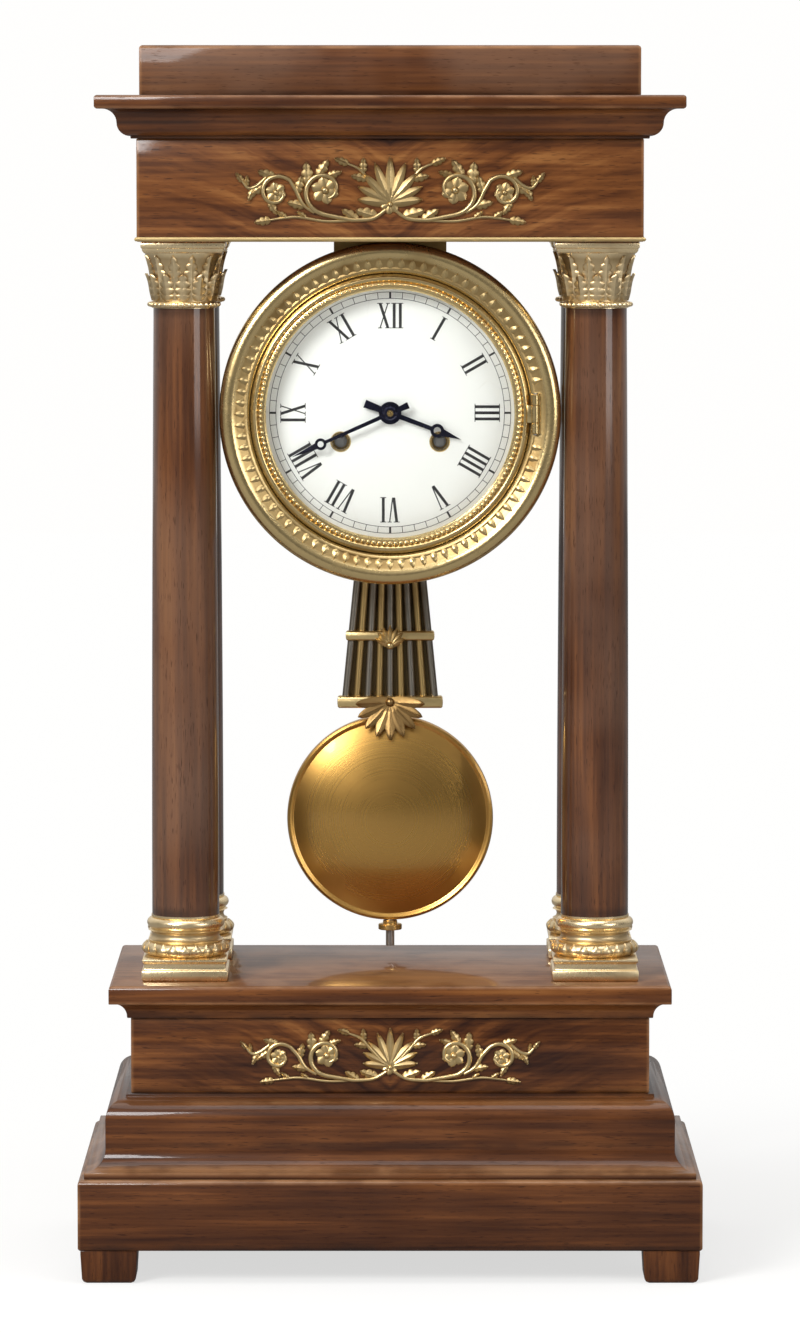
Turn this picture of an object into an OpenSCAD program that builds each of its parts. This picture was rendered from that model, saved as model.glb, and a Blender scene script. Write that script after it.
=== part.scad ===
// Portico clock: a drum movement hung under an entablature on four columns,
// with a gridiron pendulum swinging in the open bay. Front faces -Y, +Z is up,
// and the origin is on the floor under the middle of the plinth. Millimetres.

/* [Base] */
// Height of the block feet
feet_h = 13.5; // [8:0.5:20]
// Width of a block foot
feet_w = 25; // [18:0.5:30]
// Height of the plinth
plinth_h = 29; // [20:0.5:40]
// How far the plinth stands out past the base box
plinth_out = 21; // [16:0.5:28]
// Height of the moulding between the plinth and the base box
moulding_h = 32.5; // [24:0.5:42]
// How far the moulding's foot stands out past the base box
moulding_out = 18.5; // [14:0.5:22]
// Height of the base box
box_h = 31; // [26:0.5:45]
// Height of the base top board with its edge moulding
top_h = 14; // [11:0.5:20]
// How far the base top board stands out past the base box
top_out = 8.7; // [6:0.1:12]
// Wall thickness of the case boards
wall = 9; // [6:0.5:14]

/* [Columns] */
// Column shaft diameter at the foot
shaft_d_low = 27.5; // [22:0.5:32]
// Column shaft diameter at the neck
shaft_d_top = 25; // [20:0.5:30]
// Length of the column shaft
shaft_h = 248; // [220:1:300]
// Width of the square foot of a column base
column_base_w = 35; // [32:0.5:42]
// Height of a column base
column_base_h = 26; // [20:0.5:34]
// Width of a capital's square top
capital_w = 34; // [32:0.5:42]
// Height of a capital
capital_h = 27; // [20:0.5:36]
// Distance from front to rear column axes
column_pitch_y = 68; // [60:1:90]
// Margin of the base box past the column bases
box_lip = 4.3; // [2:0.1:8]
// Diameter of the iron tie rods in the columns
tie_d = 6; // [4:0.5:8]

/* [Entablature] */
// Margin of the frieze past the capitals
frieze_lip = 1.5; // [0.5:0.1:4]
// Height of the frieze box
frieze_h = 41.5; // [34:0.5:56]
// Height of the cornice
cornice_h = 17.5; // [12:0.5:24]
// How far the cornice stands out past the frieze
cornice_out = 16.3; // [10:0.1:22]
// Height of the attic block
attic_h = 20; // [14:0.5:28]
// How far the attic block stands in from the frieze
attic_in = 1.2; // [0:0.1:4]
// Thickness of the soffit board
soffit_t = 8; // [5:0.5:12]

/* [Drum] */
// Outside diameter of the bezel
bezel_d = 139; // [128:0.5:150]
// Depth of the bezel, front to back
bezel_t = 14; // [11:0.5:18]
// Diameter of the dial opening in the glazed door
dial_open_d = 101; // [96:0.5:104]
// Outside diameter of the drum
drum_d = 112; // [110:0.5:118]
// Wall thickness of the drum
drum_wall = 1.5; // [1:0.1:2.5]
// Clear room between the movement's rear end and the rear door
drum_room = 0.2; // [0.2:0.1:6]
// Thickness of the enamel dial
dial_t = 1.6; // [1:0.1:2.4]
// Clear room between bezel and columns, and between bezel and soffit
bezel_gap = 0.5; // [0.3:0.1:3]

/* [Movement] */
// Distance between the plates
plate_gap = 30; // [30:0.5:34]
// Plate thickness
plate_t = 2; // [1.5:0.1:3]
// Room for the motion work between dial and front plate
motion_gap = 4.4; // [4.4:0.1:6]
// Diameter of the back plate
plate_d = 84; // [82:0.5:94]
// Height of the suspension above the hands' axis
suspension_up = 33.5; // [33:0.5:36]
// Time shown by the hands, in minutes after twelve
time_min = 221; // [0:1:719]

/* [Pendulum] */
// Clear room between the pendulum's tip and the base top
tip_gap = 5.5; // [3:0.5:12]
// Bob diameter
bob_d = 86; // [70:1:90]
// Bob thickness
bob_t = 18; // [12:0.5:22]
// Width of the gridiron at its top
grid_w_top = 30; // [24:0.5:36]
// Width of the gridiron at its foot
grid_w_low = 40; // [30:0.5:46]
// Number of rods in the gridiron
grid_rods = 9; // [5:2:9]
// Diameter of the rods in the gridiron
grid_rod_d = 3; // [2:0.1:3.2]

/* [Hidden] */
$fn = 64;

// Clearances
running = 0.05;      // radial room of a turning fit
snug = 0.02;         // radial room of a fixed fit
clear = 0.3;         // room between pieces that only pass each other
slip = 0.2;          // room round a piece that drops into a seat

// Heights of the stack
plinth_z = feet_h;
moulding_z = plinth_z + plinth_h;
box_z = moulding_z + moulding_h;
top_z = box_z + box_h;
floor_z = top_z + top_h;
shaft_z = floor_z + column_base_h;
capital_z = shaft_z + shaft_h;
soffit_z = capital_z + capital_h;
cornice_z = soffit_z + frieze_h;
attic_z = cornice_z + cornice_h;

// Plan of the case
column_x = bezel_d / 2 + bezel_gap + shaft_d_low / 2;
column_y = column_pitch_y / 2;
frieze_hx = column_x + capital_w / 2 + frieze_lip;
frieze_hy = column_y + capital_w / 2 + frieze_lip;
box_hx = column_x + column_base_w / 2 + box_lip;
box_hy = column_y + column_base_w / 2 + box_lip;
tie_nut_d = tie_d * 1.9;
tie_nut_h = tie_d;
tie_r = tie_d / 2;

// Places front to back
drum_front_y = -30;
front_plate_y = drum_front_y + dial_t + motion_gap;
plates_y = front_plate_y + plate_t;
movement_z = soffit_z - bezel_gap - bezel_d / 2;
suspension_z = movement_z + suspension_up;
drum_r = drum_d / 2;
drum_in = drum_r - drum_wall;

// Glazed door and its hinge
door_out_r = dial_open_d / 2 + 6.5;
door_back = 3.2;                     // from the bezel's back to the door's back
door_t = 7.8;
glass_r = dial_open_d / 2 + 3;
glass_t = 1.6;
glass_rise = 7;
glass_back = 7.4;                    // from the bezel's back to the glass rim
pin_r = 0.7;
knuckle_r = 1.6;
knuckle_h = 7;
lug_h = 4.5;
lug_t = lug_h - slip;
lug_mid = (knuckle_h + lug_h + slip) / 2;
hinge_half = knuckle_h / 2 + lug_h;
door_hinge_x = door_out_r + knuckle_r + 0.3;
door_hinge_y = drum_front_y - door_back - door_t - 0.5;
rear_door_t = 2.4;

// Wheels: teeth and modules
barrel_teeth = 84;
barrel_m = 0.42;
second_pinion = 12;
going_second_teeth = 70;
going_second_m = 0.36;
centre_pinion = 14;
centre_teeth = 96;
centre_m = 0.28;
third_pinion = 8;
third_teeth = 88;
third_m = 0.28;
escape_pinion = 8;
escape_teeth = 30;
escape_r = 8.5;
cannon_teeth = 14;
minute_teeth = 42;
minute_m = 0.45;
minute_pinion = 12;
hour_teeth = 48;
hour_m = 0.42;
strike_second_teeth = 72;
strike_second_m = 0.34;
pin_pinion = 10;
pin_teeth = 60;
pin_m = 0.32;
locking_pinion = 8;
locking_teeth = 56;
locking_m = 0.28;
warning_pinion = 8;
warning_teeth = 50;
warning_m = 0.26;
fly_pinion = 8;

// Distance between the axes of two wheels in mesh
function mesh_d(n1, n2, m) = (n1 + n2) * m / 2;
// Point at a distance and angle from another
function polar(c, r, a) = [c[0] + r * cos(a), c[1] + r * sin(a)];
function angle_to(c, d) = atan2(d[1] - c[1], d[0] - c[0]);
// Point at distance ra from a and rb from b, left of the line from a to b for side 1
function reach(a, ra, b, rb, side) =
    let (d = norm(b - a), u = (b - a) / d, k = (ra * ra - rb * rb + d * d) / (2 * d))
    a + k * u + side * sqrt(ra * ra - k * k) * [-u[1], u[0]];
// Angle of a driven pinion's first tooth that puts it in mesh with its wheel
function mesh_phase(n1, phase1, c1, c2, n2) =
    let (t = angle_to(c1, c2))
    t + 180 - (0.5 - (t - phase1) * n1 / 360) * 360 / n2;

// Axes of the arbors, seen from the front, from the hands' axis
span_half = 42;                      // half of the angle the anchor spans on the escape wheel
hands_at = [0, 0];
going_at = [20.2, -11.8];
strike_at = [-going_at[0], going_at[1]];
anchor_at = [0, suspension_up];
escape_at = anchor_at - [0, escape_r / cos(span_half)];
going_second_at = reach(hands_at, mesh_d(going_second_teeth, centre_pinion, going_second_m),
    going_at, mesh_d(barrel_teeth, second_pinion, barrel_m), -1);
third_at = reach(hands_at, mesh_d(centre_teeth, third_pinion, centre_m),
    escape_at, mesh_d(third_teeth, escape_pinion, third_m), -1);
minute_at = polar(hands_at, mesh_d(cannon_teeth, minute_teeth, minute_m), 150);
strike_second_at = polar(strike_at, mesh_d(barrel_teeth, second_pinion, barrel_m), 81);
pin_at = polar(strike_second_at, mesh_d(strike_second_teeth, pin_pinion, strike_second_m), 117);
locking_at = polar(pin_at, mesh_d(pin_teeth, locking_pinion, pin_m), 9);
warning_at = polar(locking_at, mesh_d(locking_teeth, warning_pinion, locking_m), 94);
fly_at = polar(warning_at, mesh_d(warning_teeth, fly_pinion, warning_m), 40);
hammer_at = [-35, 15.5];
bell_at = [-14, -12];
pillar_at = [for (a = [270, 12, 60, 172]) polar(hands_at, plate_d / 2 - 3.7, a)];
dial_foot_at = [for (a = [90, 210, 330]) polar(hands_at, drum_in - 6, a)];

// Depths from the front plate's inner face, positive to the back
pendulum_s = plate_gap + plate_t + 11;
pendulum_y = plates_y + pendulum_s;
bell_s = plate_gap + plate_t + 17;
bell_stand_end = bell_s + 16.8;
drum_back_y = plates_y + bell_stand_end + drum_room;
drum_len = drum_back_y - drum_front_y;
rear_hinge_x = drum_r + knuckle_r + 0.2;
rear_hinge_y = drum_back_y + rear_door_t;
hour_hand_s = -plate_t - motion_gap - dial_t - 1.6;
minute_hand_s = hour_hand_s - 2.2;
hand_t = 0.8;

// Sizes of the arbors and pivots
arbor_r = 1;
thin_r = 0.6;
pivot_r = 0.45;
winding_r = 2.5;
centre_r = 1.3;
cannon_r = 2.3;
hour_pipe_r = 3.2;
winding_hole_r = 3.2;
hub_r = 2.4;
wheel_t = 1.4;

// Pendulum
rod_r = 1.8;
nut_r = 5;
nut_h = 4;
rod_tip = 7;
bob_z = floor_z + tip_gap + rod_tip + nut_h + bob_d / 2;
grid_top_z = movement_z - drum_r - 9;
grid_bar_h = 5;
grid_bar_t = 6;
grid_low_z = bob_z + bob_d / 2 + 3;
crutch_down = 44;                    // from the suspension to the crutch fork

mahogany = [0.36, 0.19, 0.1];
gilt = [0.72, 0.58, 0.32];
brass = [0.78, 0.62, 0.28];
steel = [0.55, 0.56, 0.58];
blued = [0.1, 0.12, 0.25];

// Points along an arc, first and last included
function arc(c, r, a0, a1, n = 8) = [for (i = [0:n]) polar(c, r, a0 + (a1 - a0) * i / n)];

// A block whose four sides follow an outline of [how far out, height] points, mitred at the corners
module moulded_block(hx, hy, outline) {
    function section(h) = concat([for (p = outline) [h + p[0], p[1]]],
        [for (i = [len(outline) - 1:-1:0]) [-h - outline[i][0], outline[i][1]]]);
    intersection() {
        translate([0, hy * 2, 0]) rotate([90, 0, 0]) linear_extrude(hy * 4) polygon(section(hx));
        translate([-hx * 2, 0, 0]) rotate([90, 0, 90]) linear_extrude(hx * 4) polygon(section(hy));
    }
}

// An upright box standing at height z, centred in plan
module centred_box(hx, hy, z, h) {
    translate([-hx, -hy, z]) cube([hx * 2, hy * 2, h]);
}

// Copies its children at the four column axes
module at_columns() {
    for (x = [-1, 1], y = [-1, 1]) translate([x * column_x, y * column_y, 0]) children();
}

// Base

module feet() color(mahogany)
    for (x = [-1, 1], y = [-1, 1])
        translate([x * (box_hx + plinth_out - feet_w / 2), y * (box_hy + plinth_out - feet_w / 2), 0])
            moulded_block(feet_w / 2, feet_w / 2, [[-3, 0], [-1.6, 1.4], [-1, feet_h]]);

module plinth() color(mahogany) difference() {
    moulded_block(box_hx, box_hy, [[plinth_out - 1, plinth_z], [plinth_out, plinth_z + 1],
        [plinth_out, moulding_z - 1.2], [plinth_out - 1.2, moulding_z]]);
    inside = plinth_out - 2 * wall;
    centred_box(box_hx + inside, box_hy + inside, plinth_z - 1, plinth_h + 2);
}

module base_moulding() color(mahogany) difference() {
    lip = 2;
    round_r = moulding_h * 0.25;
    neck = lip + round_r;
    cove_r = moulding_out - neck;
    cove_z = moulding_z + 2.5 + cove_r;
    round_z = box_z - 1.5 - round_r;
    moulded_block(box_hx, box_hy, concat([[moulding_out, moulding_z], [moulding_out, moulding_z + 2.5]],
        arc([moulding_out, cove_z], cove_r, 270, 180),
        arc([lip, round_z], round_r, 0, 90), [[lip, box_z], [0, box_z]]));
    centred_box(box_hx - wall, box_hy - wall, moulding_z - 1, moulding_h + 2);
}

module base_box() color(mahogany) difference() {
    centred_box(box_hx, box_hy, box_z, box_h);
    centred_box(box_hx - wall, box_hy - wall, box_z - 1, box_h + 2);
}

module base_top() color(mahogany) difference() {
    cove_r = top_h - 8;
    cove_z = top_z + cove_r + 0.5;
    moulded_block(box_hx, box_hy, concat([[0, top_z], [top_out - cove_r - 1.2, top_z]],
        [[top_out - cove_r - 1.2, top_z + 0.5]],
        arc([top_out - 1.2, top_z + 0.5], cove_r, 180, 90),
        [[top_out, cove_z], [top_out, floor_z - 1], [top_out - 1, floor_z]]));
    at_columns() translate([0, 0, top_z - 1]) cylinder(r = tie_r + slip, h = top_h + 2);
}

// Columns

module column() color(mahogany) difference() {
    translate([0, 0, shaft_z]) cylinder(d1 = shaft_d_low, d2 = shaft_d_top, h = shaft_h);
    translate([0, 0, shaft_z - 1]) cylinder(r = tie_r + slip, h = shaft_h + 2);
}

// Place of one column, left is -1, front is -1
module column_at(x, y) translate([x * column_x, y * column_y, 0]) column();

// Square foot, two rolls with a hollow between, and a collar under the shaft
module column_base() {
    foot_h = column_base_h * 0.36;
    roll = (column_base_h - foot_h) / 6;
    neck_r = shaft_d_low / 2 + 0.3;
    difference() {
        union() {
            translate([-column_base_w / 2, -column_base_w / 2, floor_z])
                cube([column_base_w, column_base_w, foot_h]);
            translate([0, 0, floor_z + foot_h]) rotate_extrude() polygon(concat([[0, 0]],
                arc([neck_r + 0.6, roll], roll, -90, 90),
                arc([neck_r + 1.6, roll * 3], roll, 270, 90),
                arc([neck_r - 0.4, roll * 4.8], roll * 0.8, -90, 90), [[neck_r, roll * 5.6]],
                [[neck_r, roll * 6], [0, roll * 6]]));
        }
        translate([0, 0, floor_z - 1]) cylinder(r = tie_r + slip, h = column_base_h + 2);
    }
}

module column_bases() color(gilt) at_columns() column_base();

// Collar, flared bell and square abacus
module capital() {
    abacus_h = capital_h * 0.17;
    bell_h = capital_h - abacus_h;
    neck_r = shaft_d_top / 2;
    flare_r = bell_h * 0.9;
    difference() {
        union() {
            translate([0, 0, capital_z]) rotate_extrude() polygon(concat([[0, 0], [neck_r + 0.6, 0]],
                arc([neck_r + 0.6, 1.4], 1.2, -90, 90), [[neck_r, 2.6]],
                arc([neck_r + flare_r, 2.8], flare_r, 180, 150),
                [[capital_w / 2 - 0.8, bell_h], [0, bell_h]]));
            translate([-capital_w / 2, -capital_w / 2, capital_z + bell_h])
                cube([capital_w, capital_w, abacus_h]);
        }
        translate([0, 0, capital_z - 1]) cylinder(r = tie_r + slip, h = capital_h + 2);
    }
}

module capitals() color(gilt) at_columns() capital();

// Iron rod through each column, with a square nut under the base top and over the soffit
module tie_rods() color(steel) at_columns() {
    low = top_z - tie_nut_h - 2;
    high = soffit_z + soffit_t + tie_nut_h + 2;
    translate([0, 0, low]) cylinder(r = tie_r, h = high - low);
    for (z = [top_z - tie_nut_h, soffit_z + soffit_t]) translate([0, 0, z]) difference() {
        translate([-tie_nut_d / 2, -tie_nut_d / 2, 0]) cube([tie_nut_d, tie_nut_d, tie_nut_h]);
        translate([0, 0, -1]) cylinder(r = tie_r + snug, h = tie_nut_h + 2);
    }
}

// Entablature

module soffit_board() color(mahogany) difference() {
    centred_box(frieze_hx - wall, frieze_hy - wall, soffit_z, soffit_t);
    at_columns() translate([0, 0, soffit_z - 1]) cylinder(r = tie_r + slip, h = soffit_t + 2);
    at_hanger_screws() translate([0, 0, soffit_z - 1])
        cylinder(r = hanger_screw_r + slip, h = soffit_t + 2);
}

module frieze_box() color(mahogany) difference() {
    centred_box(frieze_hx, frieze_hy, soffit_z, frieze_h);
    centred_box(frieze_hx - wall, frieze_hy - wall, soffit_z - 1, frieze_h + 2);
}

module cornice() color(mahogany) {
    lip_h = 5.5;
    round_r = (cornice_h - lip_h) * 0.45;
    cove_r = (cornice_h - lip_h) - round_r - 1;
    moulded_block(frieze_hx, frieze_hy, concat([[0, cornice_z], [2.2, cornice_z], [2.2, cornice_z + 1]],
        arc([2.2, cornice_z + 1 + round_r], round_r, -90, 0),
        arc([2.2 + round_r + cove_r, cornice_z + 1 + round_r], cove_r, 180, 90),
        [[cornice_out - 1, attic_z - lip_h], [cornice_out, attic_z - lip_h + 0.8],
        [cornice_out, attic_z - 0.8], [cornice_out - 0.8, attic_z]]));
}

module attic_block() color(mahogany)
    moulded_block(frieze_hx - attic_in, frieze_hy - attic_in,
        [[0, attic_z], [0, attic_z + attic_h - 1], [-1, attic_z + attic_h]]);

// Gilt mounts: flat pierced plates of scrolls and leaves

mount_t = 2.4;

// Band along a spiral from radius r0 to r1 through the angles a0 to a1
module scroll(r0, r1, a0, a1, w0, w1, n = 28) {
    function side(k) = [for (i = [0:n])
        let (t = i / n, a = a0 + (a1 - a0) * t, r = r0 + (r1 - r0) * t, w = w0 + (w1 - w0) * t)
        polar([0, 0], r + k * w / 2, a)];
    inner = side(-1);
    polygon(concat(side(1), [for (i = [n:-1:0]) inner[i]]));
}

// Pointed leaf of length l and width w, from the origin along +X
module leaf(l, w) {
    r = (l * l / 4 + w * w / 4) / w;
    a = asin(l / 2 / r);
    polygon(concat(arc([l / 2, w / 2 - r], r, 90 + a, 90 - a),
        arc([l / 2, r - w / 2], r, 270 + a, 270 - a)));
}

// Thickness given to each leaf and scroll of a mount
module relief() linear_extrude(mount_t) children();

// Running scroll to both sides of a rosette
module scroll_mount(half_w, h) {
    big = h * 0.36;
    small = h * 0.27;
    relief() circle(r = h * 0.2);
    translate([-half_w * 0.8, -0.9]) relief() square([half_w * 1.6, 1.8]);
    for (a = [20:28:160]) rotate(a) translate([h * 0.12, 0]) relief() leaf(h * 0.4, h * 0.17);
    for (s = [0, 1]) mirror([s, 0]) {
        translate([h * 0.1, -h * 0.16]) rotate(-14) relief() leaf(half_w * 0.5, h * 0.2);
        translate([half_w * 0.42, 0]) {
            relief() scroll(big, big * 0.28, 200, -250, 3.2, 2);
            relief() circle(r = big * 0.36);
        }
        translate([half_w * 0.76, -h * 0.06]) {
            relief() scroll(small, small * 0.28, 160, 620, 2.8, 1.8);
            relief() circle(r = small * 0.38);
        }
        translate([half_w * 0.84, -h * 0.16]) rotate(28) relief() leaf(half_w * 0.2, h * 0.18);
        translate([half_w * 0.5, h * 0.1]) rotate(20) relief() leaf(half_w * 0.3, h * 0.2);
    }
}

module frieze_mount() color(gilt)
    translate([0, -frieze_hy, soffit_z + frieze_h / 2]) rotate([90, 0, 0]) scroll_mount(61, 31);

module base_mount() color(gilt)
    translate([0, -box_hy, box_z + box_h / 2]) rotate([90, 0, 0]) scroll_mount(60, 26);

// Hanger between drum and soffit

hanger_w = 46;
hanger_y = [-20, 32];
hanger_screw_r = 2;

module at_hanger_screws()
    for (x = [-1, 1], y = hanger_y) translate([x * hanger_w * 0.36, y - sign(y) * 6, 0]) children();

// Saddle that the drum hangs from
module drum_hanger() color(brass) difference() {
    translate([-hanger_w / 2, hanger_y[0], movement_z])
        cube([hanger_w, hanger_y[1] - hanger_y[0], soffit_z - movement_z]);
    translate([0, hanger_y[0] - 1, movement_z]) rotate([-90, 0, 0])
        cylinder(r = drum_r + snug, h = hanger_y[1] - hanger_y[0] + 2, $fn = 128);
    at_hanger_screws() translate([0, 0, movement_z])
        cylinder(r = hanger_screw_r + snug, h = soffit_z - movement_z + 1);
}

module hanger_screws() color(steel) at_hanger_screws() {
    head_h = 2.4;
    translate([0, 0, soffit_z - 4]) cylinder(r = hanger_screw_r, h = soffit_t + 4.5);
    translate([0, 0, soffit_z + soffit_t]) difference() {
        cylinder(r = hanger_screw_r * 1.9, h = head_h);
        translate([-5, -0.4, head_h - 1]) cube([10, 0.8, 2]);
    }
}

// Drum, bezel and doors

// Children built along +Z stand on an axis seen from the front, +Z to the front
module on_axis(c) translate([c[0], 0, movement_z + c[1]]) rotate([90, 0, 0]) children();

// 2D children made solid from depth s0 to s1 behind the front plate's inner face
module between(s0, s1) translate([0, 0, -plates_y - s1]) linear_extrude(s1 - s0) children();

// Straight hinge piece along Z at a hinge axis, from z0 to z1 about the hands' height
module knuckle(x, y, z0, z1, r, bore) translate([x, y, movement_z + z0]) difference() {
    cylinder(r = r, h = z1 - z0);
    translate([0, 0, -1]) cylinder(r = bore, h = z1 - z0 + 2);
}

// Pair of lugs above and below the middle knuckle
module lugs(x, y) for (s = [-1, 1])
    knuckle(x, y, min(s * (knuckle_h / 2 + slip), s * (knuckle_h / 2 + lug_h)),
        max(s * (knuckle_h / 2 + slip), s * (knuckle_h / 2 + lug_h)), knuckle_r, pin_r + snug);

module drum() color(brass) {
    difference() {
        on_axis(hands_at) translate([0, 0, -drum_back_y]) difference() {
            cylinder(r = drum_r, h = drum_len, $fn = 128);
            translate([0, 0, -1]) cylinder(r = drum_in, h = drum_len + 2, $fn = 128);
        }
        translate([-13, pendulum_y - 7, movement_z - drum_r - 5]) cube([26, 14, 20]);
    }
    lugs(rear_hinge_x, rear_hinge_y);
    for (s = [-1, 1])
        translate([rear_hinge_x, rear_hinge_y, movement_z + s * lug_mid - lug_t / 2]) {
            translate([-2.8, -8, 0]) cube([3, 8 - rear_door_t - slip, lug_t]);
            translate([-knuckle_r, -rear_door_t - 1, 0]) cube([0.7, rear_door_t + 1, lug_t]);
        }
}

module bezel() color(gilt) {
    difference() {
        on_axis(hands_at) translate([0, 0, -drum_front_y]) rotate_extrude($fn = 128) polygon(concat(
            [[dial_open_d / 2 + 0.5, 0], [bezel_d / 2, 0], [bezel_d / 2, 4]],
            arc([bezel_d / 2 - 3, 5.5], 2.5, 0, 90),
            arc([bezel_d / 2 - 4, bezel_t - 5], 4, 0, 110),
            [[door_out_r + 2.5, bezel_t - 4], [door_out_r + slip, bezel_t - 4.5]],
            [[door_out_r + slip, door_back - slip], [dial_open_d / 2 + 0.5, door_back - slip]]));
        translate([door_hinge_x - knuckle_r - 0.5, door_hinge_y - 3, movement_z - hinge_half - slip])
            cube([knuckle_r * 2 + 1, 3 + knuckle_r + 0.5, 2 * hinge_half + 2 * slip]);
    }
    lugs(door_hinge_x, door_hinge_y);
    for (s = [-1, 1]) translate([door_hinge_x - 0.3, door_hinge_y + knuckle_r * 0.6,
        movement_z + s * lug_mid - lug_t / 2])
        cube([knuckle_r * 2, knuckle_r * 1.4, lug_t]);
}

module glass_door() color(gilt) difference() {
    union() {
        on_axis(hands_at) translate([0, 0, -drum_front_y + door_back]) rotate_extrude($fn = 128)
            polygon([[glass_r + slip, 0], [door_out_r, 0], [door_out_r, door_t - 2],
                [door_out_r - 0.6, door_t - 0.6], [door_out_r - 2, door_t],
                [dial_open_d / 2 + 1, door_t - 0.6], [dial_open_d / 2, door_t - 1.6],
                [dial_open_d / 2, door_t - 2.2], [glass_r + slip, door_t - 2.2]]);
        translate([door_hinge_x, door_hinge_y, movement_z - knuckle_h / 2])
            cylinder(r = knuckle_r, h = knuckle_h);
        translate([door_out_r - 1.5, door_hinge_y - pin_r, movement_z - knuckle_h / 2])
            cube([2.6, pin_r + 1.7, knuckle_h]);
    }
    translate([door_hinge_x, door_hinge_y, movement_z - knuckle_h])
        cylinder(r = pin_r + running, h = knuckle_h * 2);
}

// Convex watch glass, seated behind the door's lip
module door_glass() color([0.85, 0.9, 0.9, 0.3]) on_axis(hands_at)
    translate([0, 0, -drum_front_y + glass_back]) {
        dome_r = (glass_r * glass_r + glass_rise * glass_rise) / (2 * glass_rise);
        intersection() {
            translate([0, 0, glass_rise - dome_r]) difference() {
                sphere(r = dome_r, $fn = 128);
                sphere(r = dome_r - glass_t, $fn = 128);
            }
            translate([0, 0, -1.2]) cylinder(r = glass_r, h = glass_rise + 3, $fn = 128);
        }
    }

module hinge_pins() color(steel)
    for (p = [[door_hinge_x, door_hinge_y], [rear_hinge_x, rear_hinge_y]])
        translate([p[0], p[1], movement_z - hinge_half - 0.5]) cylinder(r = pin_r, h = 2 * hinge_half + 1);

// Dished brass cover with a turned knob
module rear_door() color(brass) {
    rim = 3;
    knob_x = -(drum_r - 10);
    on_axis(hands_at) {
        translate([0, 0, -drum_back_y - rear_door_t])
            cylinder(r = drum_r, h = rear_door_t - clear, $fn = 128);
        translate([0, 0, -drum_back_y - clear]) difference() {
            cylinder(r = drum_in - slip, h = rim, $fn = 128);
            translate([0, 0, -1]) cylinder(r = drum_in - slip - 1.2, h = rim + 2, $fn = 128);
        }
        translate([knob_x, 0, -drum_back_y - rear_door_t - 4]) cylinder(r = 1.4, h = 4.5);
        translate([knob_x, 0, -drum_back_y - rear_door_t - 4]) sphere(r = 3);
    }
    knuckle(rear_hinge_x, rear_hinge_y, -knuckle_h / 2, knuckle_h / 2, knuckle_r, pin_r + running);
    translate([drum_r - 2, drum_back_y + clear, movement_z - knuckle_h / 2])
        cube([2.6, rear_door_t - clear, knuckle_h]);
}

// Enamel disc on three copper feet
module dial() color([0.95, 0.94, 0.9]) on_axis(hands_at) {
    difference() {
        translate([0, 0, -drum_front_y - dial_t]) cylinder(r = drum_in - slip, h = dial_t, $fn = 128);
        translate([0, 0, -drum_front_y - dial_t - 1]) cylinder(r = 4.5, h = dial_t + 2);
        for (c = [going_at, strike_at])
            translate([c[0], c[1], -drum_front_y - dial_t - 1]) cylinder(r = winding_hole_r, h = dial_t + 2);
    }
    for (c = dial_foot_at) translate([c[0], c[1], 0])
        between(-plate_t - motion_gap - 0.2, 0) circle(r = 1.2);
}

// Movement frame

// Pivot holes that both plates share
module pivot_holes() for (c = [going_second_at, third_at, escape_at, strike_second_at, pin_at, locking_at,
    warning_at, fly_at, hammer_at]) translate(c) circle(r = pivot_r + running);

module front_plate() color(brass) {
    on_axis(hands_at) between(-plate_t, 0) difference() {
        circle(r = drum_in - slip, $fn = 128);
        pivot_holes();
        translate(anchor_at) circle(r = pivot_r + running);
        circle(r = centre_r + running);
        for (c = [going_at, strike_at]) translate(c) circle(r = winding_r + running);
        for (c = pillar_at) translate(c) circle(r = 1.4 + snug);
        for (c = dial_foot_at) translate(c) circle(r = 1.2 + snug);
    }
    on_axis(minute_at) between(-plate_t - motion_gap + 0.4, -plate_t + 0.3) circle(r = 0.8);
}

module back_plate() color(brass) on_axis(hands_at) between(plate_gap, plate_gap + plate_t) difference() {
    circle(d = plate_d, $fn = 128);
    for (c = [going_second_at, third_at, escape_at, pin_at, locking_at, warning_at, fly_at, hands_at])
        translate(c) circle(r = pivot_r + running);
    translate(strike_second_at) circle(r = arbor_r + running);
    translate(hammer_at) circle(r = arbor_r + running);
    translate(anchor_at) circle(r = 4);
    for (c = [going_at, strike_at]) translate(c) circle(r = winding_r * 0.6 + running);
    for (c = pillar_at) translate(c) circle(r = 1.4 + snug);
    translate(bell_at) circle(r = 1.6 + snug);
    for (x = cock_feet_x) translate([x, suspension_up]) circle(r = 1.2 + snug);
}

module pillars() color(brass) for (c = pillar_at) on_axis(c) {
    between(0, plate_gap) circle(r = 2.6);
    between(-plate_t, plate_gap + plate_t) circle(r = 1.4);
    between(plate_gap + plate_t, plate_gap + plate_t + 1.6) circle(r = 2.2, $fn = 6);
}

cock_feet_x = [-11, 11];
cock_s = plate_gap + plate_t + 5;
cock_t = 2;
stud_up = 8;

// Bridge behind the back plate: carries the anchor's rear pivot and the suspension stud
module back_cock() color(brass) on_axis([0, 0]) {
    between(cock_s, cock_s + cock_t) difference() {
        translate([cock_feet_x[0] - 4, suspension_up - 5])
            square([cock_feet_x[1] - cock_feet_x[0] + 8, stud_up + 9]);
        translate(anchor_at) circle(r = pivot_r + running);
    }
    for (x = cock_feet_x) translate([x, suspension_up]) {
        between(plate_gap + plate_t, cock_s + 0.5) circle(r = 3);
        between(plate_gap, cock_s) circle(r = 1.2);
    }
    translate([0, suspension_up + stud_up]) between(cock_s + 0.5, pendulum_s + 3.5) difference() {
        circle(r = 2.4);
        translate([-0.12, -3]) square([0.24, 6]);
    }
}

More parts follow.
